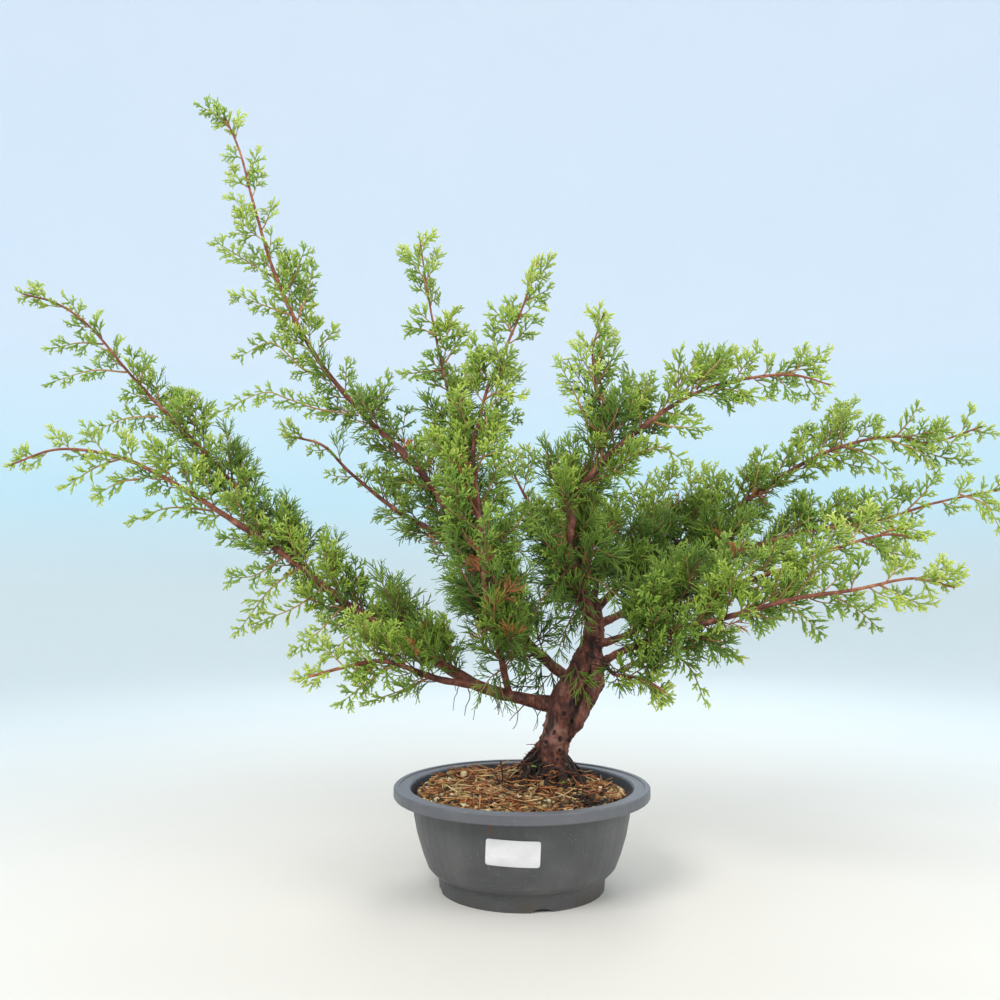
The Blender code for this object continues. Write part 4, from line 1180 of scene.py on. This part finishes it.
trunkShape = {
    "stem": ((0.025, 0.030, 0.060, 0.0112), (0.0255, 0.030, 0.084, 0.0116), (0.027, 0.030, 0.104, 0.0129),
             (0.0318, 0.030, 0.120, 0.0120), (0.0352, 0.030, 0.134, 0.0134), (0.043, 0.030, 0.152, 0.0136),
             (0.053, 0.031, 0.170, 0.0118), (0.060, 0.032, 0.190, 0.0095), (0.063, 0.034, 0.211, 0.0078),
             (0.062, 0.036, 0.228, 0.0052)),
    "ridge": ((0.038, 0.026, 0.110, 0.0030), (0.046, 0.023, 0.126, 0.0052), (0.0555, 0.0225, 0.143, 0.0068),
              (0.062, 0.023, 0.160, 0.0070), (0.064, 0.023, 0.176, 0.0060), (0.063, 0.026, 0.192, 0.0045)),
    "knobs": ((0.0440, 0.027, 0.1190, 0.0024), (0.0425, 0.027, 0.1130, 0.0022),
              (0.0500, 0.026, 0.1290, 0.0024), (0.0595, 0.023, 0.1400, 0.0026),
              (0.0690, 0.024, 0.1570, 0.0024), (0.0140, 0.028, 0.1070, 0.0022),
              (0.0200, 0.028, 0.1240, 0.0020), (0.0260, 0.024, 0.1380, 0.0022),
              (0.0560, 0.018, 0.1720, 0.0024), (0.0420, 0.044, 0.1300, 0.0026),
              (0.0300, 0.043, 0.1100, 0.0024), (0.0580, 0.044, 0.1620, 0.0026)),
    "rootAngles": (200, 235, 262, 300, 335, 20, 60, 95, 130, 165),
    "rootReach": 0.034,
    "rootRadius": 0.0032,
    "voxel": 0.0009,
    "roughness": 0.0015,
    "limbNear": 0.016,  # limbs that start this close to a way-point of the stem are fused to it
    "crease": (0.16, 0.034),  # width of the crease beside the ridge, pushed in and darkened with painted shade, and how far back it goes
    "smoothAbove": 0.232,
    # place across, height and radius of each scar, on the front and on the back
    "frontKnots": ((0.0205, 0.1102, 0.0026), (0.0272, 0.1181, 0.0026), (0.0325, 0.1128, 0.0028),
                   (0.0320, 0.1038, 0.0024), (0.0391, 0.1114, 0.0022), (0.0424, 0.1272, 0.0024),
                   (0.0358, 0.1338, 0.0026), (0.0448, 0.1433, 0.0022), (0.0476, 0.1480, 0.0024),
                   (0.0563, 0.1652, 0.0026), (0.0610, 0.1800, 0.0024), (0.0300, 0.0960, 0.0022),
                   (0.0210, 0.1200, 0.0018), (0.0520, 0.1560, 0.0020)),
    "backKnots": ((0.0240, 0.1050, 0.0026), (0.0340, 0.1150, 0.0028), (0.0300, 0.1270, 0.0024),
                  (0.0420, 0.1400, 0.0028), (0.0500, 0.1550, 0.0026), (0.0560, 0.1750, 0.0022)),
}


def rowsLine(rows):
    # a smooth line through rows of place and radius, and the radius along it
    rows = np.array(rows)
    line = smoothLine(rows[:, :3], 0.004)
    known = lengthAlong(rows[:, :3])
    return line, np.interp(np.linspace(0, known[-1], len(line)), known, rows[:, 3])


def rowsTube(rows, sides=20):
    points, faces = tubeArrays(*rowsLine(rows), sides)
    cap = np.array([[0, index + 1, index] for index in range(1, sides - 1)])
    return points, np.vstack([faces, cap])


def awayFromRows(places, rows):
    # distance from a tapering line of rows, as a share of its radius there
    line, radii = rowsLine(rows)
    return (np.linalg.norm(places[:, None] - line[None], axis=2) / radii[None]).min(1)


def trunkTubes():
    # the stem with its ridge and knobs, the roots at its foot and the start of each limb on it
    shapes = [rowsTube(trunkShape["stem"]), rowsTube(trunkShape["ridge"])]
    for x, y, z, size in trunkShape["knobs"]:
        shapes.append(rowsTube(((x - size, y, z - size, 0.5 * size), (x, y, z, size),
                                (x + 0.4 * size, y, z + size, 0.4 * size)), 8))
    foot = np.array([*trunkShape["stem"][1][:2], 0.0])
    rng = random.Random(5)
    for angle in trunkShape["rootAngles"]:
        out = np.array([math.cos(math.radians(angle)), math.sin(math.radians(angle)), 0.0])
        across = np.array([-out[1], out[0], 0.0]) * rng.uniform(-0.008, 0.008)
        size = rng.uniform(0.55, 1.15) * trunkShape["rootRadius"]
        far = trunkShape["rootReach"] * rng.uniform(0.7, 1.1)
        shapes.append(rowsTube((
            (*(foot + out * 0.003 + up * 0.098), 0.8 * size),
            (*(foot + out * 0.012 + up * 0.088), 1.1 * size),
            (*(foot + out * 0.020 + across * 0.5 + up * 0.080), size),
            (*(foot + out * far + across + up * 0.070), 0.45 * size)), 12))
    stem = np.array(trunkShape["stem"])[:, :3]
    for baseRadius, _, _, wayPoints in limbs.values():
        if np.linalg.norm(stem - np.array(wayPoints[0]), axis=1).min() < trunkShape["limbNear"]:
            start = smoothLine(wayPoints, 0.006)[:4]
            rows = [(*place, baseRadius * (1.25 - 0.09 * number)) for number, place in enumerate(start)]
            shapes.append(rowsTube(rows, 12))
    return joinArrays(shapes)


def fuseTubes(trunk):
    # one smooth skin over all the tubes
    remesh = trunk.modifiers.new("fuse", "REMESH")
    remesh.mode = "VOXEL"
    remesh.voxel_size = trunkShape["voxel"]
    smooth = trunk.modifiers.new("soften", "SMOOTH")
    smooth.iterations = 6
    smooth.factor = 0.5
    graph = bpy.context.evaluated_depsgraph_get()
    graph.update()
    fused = bpy.data.meshes.new_from_object(trunk.evaluated_get(graph))
    trunk.modifiers.clear()
    trunk.data = fused
    return fused


def carveBark(fused):
    # strips, plates, scars and the crease, pushed in or out of the skin; the sunken strips and the crease
    # are also marked for painted shade
    hollowShade, knot, places = [], [], []
    known = np.array([vertex.co for vertex in fused.vertices])
    apart = awayFromRows(known, trunkShape["stem"]) - awayFromRows(known, trunkShape["ridge"])
    width, back = trunkShape["crease"]
    creases = np.exp(-(apart / width) ** 2) * (known[:, 1] < back)
    for vertex, crease in zip(fused.vertices, creases):
        x, y, z = vertex.co
        strip = noise.fractal((x * 150, y * 150, z * 34), 1.0, 2.0, 4)
        plate = noise.fractal((x * 360 + 7, y * 360, z * 190), 0.8, 2.0, 4)
        broad = noise.noise((x * 60, y * 60 + 3, z * 45))
        push = 0.7 * strip + 0.6 * plate + 1.0 * broad - 0.9 * crease
        scar = 0.0
        knots = trunkShape["frontKnots"] if y < 0.030 else trunkShape["backKnots"]
        for kx, kz, size in knots:
            away = math.hypot(x - kx, 0.85 * (z - kz)) / size + 0.35 * plate
            if away < 1.6:
                push += 0.7 * math.exp(-((away - 0.85) / 0.30) ** 2) - 0.5 * max(0.0, 1 - away / 0.8)
                scar = max(scar, min(1.0, 1.7 * max(0.0, 1 - away / 0.85)))
        fade = min(1.0, max(0.15, (trunkShape["smoothAbove"] - z) / 0.02))
        places.append(vertex.co + vertex.normal * push * trunkShape["roughness"] * fade)
        hollowShade.append(min(1.0, max(0.0, -1.3 * strip, crease + 0.3 * plate)))
        knot.append(scar)
    for vertex, place in zip(fused.vertices, places):
        vertex.co = place
    for label, numbers in (("hollowShade", hollowShade), ("knot", knot)):
        fused.attributes.new(label, "FLOAT", "POINT").data.foreach_set("value", numbers)


def makeTrunk(trunkBark):
    trunk = meshPiece("trunk_bark", *trunkTubes(), trunkBark)
    fused = fuseTubes(trunk)
    carveBark(fused)
    fused.shade_smooth()
    fused.materials.clear()
    fused.materials.append(trunkBark)
    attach(trunk, "root")
    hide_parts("trunk")
    print("trunk faces", len(fused.polygons))


# Soil: a crumbled bed, clay granules, dead needles and a few green clippings

soilShape = {
    "radius": 0.0862,
    "edge": 0.0700,
    "crown": 0.0030,
    "mound": 0.0235,
    "moundSpread": 0.0178,
    "moundAt": (0.025, 0.030),
    "moundLean": 2.6,  # the heap's high side, radians from +X
    "heaps": 0.0024,
    "leftRise": 0.0030,
    "cornerRise": 0.0050,
    "corner": (-0.052, 0.042, 0.015),  # place across and deep, and spread
    "dampTrunk": (0.020, 0.026, 0.021),
    "dampPatch": (0.052, -0.036, 0.020, 0.026),
    "crumbs": 0.0011,
    # the largest lumps: place across and deep, radius and tone
    "lumps": ((-0.052, 0.044, 0.0052, 0.34), (-0.060, 0.036, 0.0040, 0.62), (-0.044, 0.050, 0.0044, 0.26),
              (-0.066, 0.018, 0.0034, 0.80), (-0.048, 0.034, 0.0036, 0.92), (-0.036, 0.052, 0.0036, 0.42),
              (-0.070, 0.030, 0.0034, 0.30), (-0.030, 0.040, 0.0032, 0.70), (0.060, 0.038, 0.0036, 0.40)),
    # roundness, count and radii
    "granules_large": (2, 1250, (0.0012, 0.0028)),
    "granules_small": (1, 1600, (0.0006, 0.0013)),
    "needles": 1050,
    "needleShort": (0.004, 0.011),
    "needleLong": (0.010, 0.021),
    "needleThick": (0.00036, 0.00072),
    "needleLimit": 0.0855,  # no needle pokes through the pot's wall
    "deadSprays": 90,
    "greenSprays": 9,
    "spraySize": (0.5, 0.8),
}


def bell(x, y, middleX, middleY, spread):
    return math.exp(-((x - middleX) ** 2 + (y - middleY) ** 2) / (2 * spread ** 2))


def soilTop(x, y):
    far = math.hypot(x, y) / soilShape["radius"]
    middleX, middleY = soilShape["moundAt"]
    mound = soilShape["mound"] * bell(x, y, middleX, middleY, soilShape["moundSpread"])
    mound *= 1 + 0.5 * math.cos(math.atan2(y - middleY, x - middleX) - soilShape["moundLean"])
    fade = max(0.0, 1 - far ** 4)
    heap = soilShape["heaps"] * noise.noise((x * 45, y * 45, 1.0))
    # higher against the left wall and in the back left corner
    raised = soilShape["leftRise"] * min(1.0, max(0.0, -x / 0.06))
    raised += soilShape["cornerRise"] * bell(x, y, *soilShape["corner"])
    return soilShape["edge"] + soilShape["crown"] * (1 - far ** 2) + (mound + heap) * fade + raised


def soilDamp(x, y):
    # 1 where the soil is dark: round the trunk and in a patch at the front right
    trunk = bell(x, y, *soilShape["dampTrunk"])
    patchX, patchY, wide, deep = soilShape["dampPatch"]
    patch = math.exp(-((x - patchX) / wide) ** 2 - ((y - patchY) / deep) ** 2)
    return min(1.0, 1.25 * trunk + patch + 0.25 * noise.noise((x * 60, y * 60, 8.0)))


def makeSoil(soilBed):
    rings, spokes = 70, 150
    rows = []
    for ring in range(rings):
        radius = soilShape["radius"] * ring / (rings - 1)
        for spoke in range(spokes):
            angle = math.tau * (spoke + 0.5 * (ring % 2)) / spokes
            x, y = radius * math.cos(angle), radius * math.sin(angle)
            crumb = noise.fractal((x * 420, y * 420, 5.0), 1.0, 2.0, 3) * soilShape["crumbs"]
            rows.append((x, y, soilTop(x, y) + crumb - (0.006 if ring == rings - 1 else 0.0)))
    faces = ringsToFaces(rings, spokes, closed=False)
    darkened = [soilDamp(x, y) for x, y, _ in rows]
    bed = meshPiece("soil_bed", np.array(rows), faces, soilBed, {"darkened": darkened})
    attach(bed, "root")
    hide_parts("soil")


def lumpForms(rng, detail, count):
    forms = []
    for _ in range(count):
        bm = bmesh.new()
        bmesh.ops.create_icosphere(bm, subdivisions=detail, radius=1.0)
        stretch = [rng.uniform(0.75, 1.15) for _ in range(3)]
        seed = rng.uniform(0, 90)
        for vertex in bm.verts:
            push = 1 + 0.45 * noise.noise(vertex.co * 1.3 + Vector((seed, 0, 0)))
            vertex.co = Vector([c * s * push for c, s in zip(vertex.co, stretch)])
        faces = [[vertex.index for vertex in face.verts] for face in bm.faces]
        forms.append((np.array([vertex.co for vertex in bm.verts]), np.array(faces)))
        bm.free()
    return forms


def turnedBy(rng):
    # a random turn as a 3 by 3 matrix
    a, b, c = (rng.uniform(0, math.tau) for _ in range(3))
    about = Vector((math.cos(a) * math.sin(b), math.sin(a) * math.sin(b), math.cos(b)))
    return np.array(Matrix.Rotation(c, 3, about))


def onSoil(rng, edge=0.985):
    radius = soilShape["radius"] * edge * math.sqrt(rng.random())
    angle = rng.uniform(0, math.tau)
    return radius * math.cos(angle), radius * math.sin(angle)


def lumpArrays(rng, form, place, size, tone):
    points, faces = form
    return points @ turnedBy(rng).T * size + place, faces, np.full(len(points), tone)


def makeGranules(clayGranule):
    rng = random.Random(21)
    for name in ("granules_large", "granules_small"):
        detail, count, sizes = soilShape[name]
        forms = lumpForms(rng, detail, 7)
        shapes = []
        for _ in range(count):
            x, y = onSoil(rng, 0.975)
            size = rng.uniform(*sizes)
            form = forms[rng.randrange(len(forms))]
            place = np.array([x, y, soilTop(x, y) + size * rng.uniform(0.0, 1.1)])
            tone = min(1.0, max(0.0, rng.gauss(0.54, 0.30) - 0.66 * max(0.0, soilDamp(x, y))))
            shapes.append(lumpArrays(rng, form, place, size, tone))
        if name == "granules_large":
            for x, y, size, tone in soilShape["lumps"]:
                form = forms[rng.randrange(len(forms))]
                place = np.array([x, y, soilTop(x, y) + 0.5 * size])
                shapes.append(lumpArrays(rng, form, place, size, tone))
        points, faces, tones = joinArrays(shapes)
        piece = meshPiece(name, points, faces, clayGranule, {"tone": tones})
        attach(piece, "root")


def makeNeedles(deadNeedle):
    rng = random.Random(31)
    shapes = []
    for _ in range(soilShape["needles"]):
        x, y = onSoil(rng)
        long = rng.uniform(*soilShape["needleShort" if rng.random() < 0.55 else "needleLong"])
        angle, tilt = rng.uniform(0, math.tau), rng.gauss(0.05, 0.22)
        bend = rng.uniform(-0.9, 0.9)
        part = np.linspace(0, 1, 4)
        heading = angle + bend * part
        x0, y0 = x - 0.5 * long * math.cos(angle), y - 0.5 * long * math.sin(angle)
        move = np.stack([np.cos(heading), np.sin(heading), np.full(4, math.sin(tilt))], 1) * long / 3
        line = np.array([x0, y0, 0.0]) + np.vstack([np.zeros(3), np.cumsum(move[:-1], 0)])
        darkened = max(0.0, soilDamp(x, y))
        if np.hypot(line[:, 0], line[:, 1]).max() > soilShape["needleLimit"] or rng.random() < 0.6 * darkened:
            continue
        floor = max(soilTop(px, py) for px, py, _ in line)
        line[:, 2] += floor + rng.uniform(0.0010, 0.0046) - line[:, 2].min() * 0.5
        thick = rng.uniform(*soilShape["needleThick"])
        points, faces = tubeArrays(line, thick * np.array([0.8, 1.0, 0.9, 0.5]), 3)
        tone = min(1.0, max(0.0, rng.gauss(0.58, 0.32) - 0.35 * darkened))
        around = np.append(np.tile(np.arange(3) * 0.01, 4), 0.0)
        shapes.append((points, faces, np.append(np.repeat(part, 3), 1.0), tone + around))
    points, faces, ages, tones = joinArrays(shapes)
    values = {"age": ages, "tone": np.clip(tones, 0, 1)}
    piece = meshPiece("needle_litter", points, faces, deadNeedle, values)
    layColourMap(piece, ages, tones)
    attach(piece, "root")


def makeClippings(grown, leafGreen):
    rng = random.Random(41)
    placings = []
    for number in range(soilShape["deadSprays"] + soilShape["greenSprays"]):
        green = number >= soilShape["deadSprays"]
        x, y = onSoil(rng, 0.80)
        angle = rng.uniform(0, math.tau)
        forward = unit(np.array([math.cos(angle), math.sin(angle), rng.uniform(-0.1, 0.2)]))
        across = unit(np.cross(up, forward) + up * rng.uniform(-0.4, 0.4))
        across = unit(across - forward * (across @ forward))
        form = rng.randrange(10)
        place = np.array([x, y, soilTop(x, y) + rng.uniform(0.002, 0.005)])
        age = rng.uniform(0.30, 0.5) if green else rng.uniform(0.0, 0.05)
        size = rng.uniform(*soilShape["spraySize"])
        placings.append((form, place, forward, across, size, 2.0, age, 0.5 if green else 0.0, rng.random()))
    points, faces, ages, tones = stampSprays(grown, placings)
    ages = np.clip(ages, 0, 1)
    piece = meshPiece("clippings", points, faces, leafGreen, {"age": ages, "tone": np.clip(tones, 0, 1)})
    layColourMap(piece, ages, tones)
    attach(piece, "root")


# Thin roots: on the soil round the trunk, and in the air under the lowest left limb

rootHabit = {
    "strands": 34,
    "strandRun": (0.020, 0.034),
    "strandThick": (0.0006, 0.0014),
    "strandsLeaveAt": 0.091,
    "fibres": 260,
    "fibreRun": (0.008, 0.024),
    "fibreThick": (0.00025, 0.0005),
    "limit": 0.083,  # no root pokes through the pot's wall
    "airRoots": 10,
    "airThick": (0.00042, 0.00070),
    "twiggy": ("centre", "right_tall", "tall", "right_mid", "right_low", "right_bottom", "right_front",
               "left_low", "back_centre", "right_under"),
    "twigsPerLimb": 9,
    "twigThick": (0.00062, 0.00026),
    "stake": ((-0.0150, 0.0100, 0.0700), (-0.0152, 0.0100, 0.0800), (-0.0160, 0.0102, 0.0890),
              (-0.0170, 0.0105, 0.0965)),
    "stakeThick": (0.0005, 0.0007),
}


def makeSurfaceRoots(rootSkin):
    # strands that leave the trunk above the soil, and finer ones that drape over the heap
    rng = random.Random(51)
    shapes = []
    for number in range(rootHabit["strands"] + rootHabit["fibres"]):
        strand = number < rootHabit["strands"]
        angle = rng.uniform(0, math.tau)
        start = 0.0095 if strand else rng.uniform(0.008, 0.030)
        run = rng.uniform(*rootHabit["strandRun" if strand else "fibreRun"])
        high = rootHabit["strandsLeaveAt"] + 0.011 * abs(math.cos(angle)) + rng.uniform(-0.003, 0.003)
        line = []
        count = max(4, round(run / 0.0035))
        for step in range(count):
            share = step / (count - 1)
            away = start + run * share
            x = soilShape["moundAt"][0] + away * math.cos(angle)
            y = soilShape["moundAt"][1] + away * math.sin(angle)
            ground = soilTop(x, y) + rng.uniform(0.0006, 0.0022)
            slope = high + (soilTop(x, y) - high) * share ** 0.7 if strand else ground
            line.append((x, y, max(ground, slope) - (0.003 if share == 1 else 0.0)))
            angle += rng.uniform(-0.16, 0.16) if strand else rng.uniform(-0.35, 0.35)
        if np.hypot(*line[-1][:2]) > rootHabit["limit"]:
            continue
        line = smoothLine(line, 0.0015)
        thick = rng.uniform(*rootHabit["strandThick" if strand else "fibreThick"])
        bulge = [1 + 0.3 * noise.noise((k * 0.35, number, 0.0)) for k in range(len(line))]
        radii = np.linspace(thick, 0.35 * thick, len(line)) * bulge
        shapes.append(tubeArrays(line, radii, 7 if strand else 5))
    points, faces = joinArrays(shapes)
    piece = meshPiece("surface_roots", points, faces, rootSkin)
    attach(piece, "root")


def makeAirRoots(airRootSkin):
    rng = random.Random(61)
    shapes = []
    limb = smoothLine(limbs["left_low"][3], 0.003)
    for number in range(rootHabit["airRoots"]):
        place = limb[3 + 3 * number + rng.randrange(3)] - up * 0.004
        heading = unit(np.array([rng.uniform(-0.9, 0.5), rng.uniform(-0.3, 0.3), -0.9]))
        line = [place]
        for _ in range(rng.randrange(3, 8)):
            turn = np.array([rng.uniform(-0.55, 0.5), rng.uniform(-0.4, 0.4), rng.uniform(-0.5, 0.0)])
            heading = unit(heading + turn)
            line.append(line[-1] + heading * 0.0038)
        line = smoothLine(line, 0.0012)
        thick = rng.uniform(*rootHabit["airThick"])
        shapes.append(tubeArrays(line, np.linspace(thick, 0.55 * thick, len(line)), 5))
    points, faces = joinArrays(shapes)
    piece = meshPiece("air_roots", points, faces, airRootSkin)
    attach(piece, "root")


def makeDeadTwigs(rootSkin):
    # bare grey-brown twigs among the inner limbs, and one that stands in the soil
    rng = random.Random(71)
    shapes = []
    for name in rootHabit["twiggy"]:
        line = smoothLine(limbs[name][3], 0.003)
        for _ in range(rootHabit["twigsPerLimb"]):
            twig = [line[rng.randrange(5, max(12, len(line) // 3))]]
            heading = unit(nudge(rng, 1.0))
            for _ in range(rng.randrange(3, 8)):
                heading = unit(heading + nudge(rng, 0.45))
                twig.append(twig[-1] + heading * 0.0045)
            twig = smoothLine(twig, 0.0025)
            shapes.append(tubeArrays(twig, np.linspace(*rootHabit["twigThick"], len(twig)), 4))
    stake = smoothLine(rootHabit["stake"], 0.0012)
    shapes.append(tubeArrays(stake, np.linspace(*rootHabit["stakeThick"], len(stake)), 6))
    points, faces = joinArrays(shapes)
    piece = meshPiece("dead_twigs", points, faces, rootSkin)
    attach(piece, "root")


# Making it all

makeCamera()
for lampName in ("keyLight", "fillLight", "backLight"):
    makeLamp(lampName)
makeSky()
makeFloor()
print("studio ready")

potPlastic = makePotPlastic()
stickerPaper = makeStickerPaper()
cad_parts["pot"].material_slots[0].material = potPlastic
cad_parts["label"].material_slots[0].material = stickerPaper

makeTrunk(makeTrunkBark())
branchBark = makeBranchBark()
for limbName in limbs:
    limbWood(limbName, branchBark)
print("wood ready")

leafGreen = makeLeafGreen()
twigSkin = makeTwigSkin()
sprays, fanForms = growSprays()
leafFaces = 0
for limbName in limbs:
    limbPlacings, limbStems = growLimbLeaves(limbName, sprays, fanForms)
    faceCount = leafPieces(limbName, limbPlacings, limbStems, sprays, leafGreen, twigSkin)
    leafFaces += faceCount
    print("leaves on", limbName, len(limbPlacings), "sprays", faceCount, "faces")
print("leaves ready,", leafFaces, "faces")

makeSoil(makeSoilBed())
makeGranules(makeGranule())
makeNeedles(makeDeadNeedle())
makeClippings(sprays, leafGreen)
rootSkin = makeRootSkin()
makeSurfaceRoots(rootSkin)
makeDeadTwigs(rootSkin)
makeAirRoots(makeAirRootSkin())
print("soil ready")
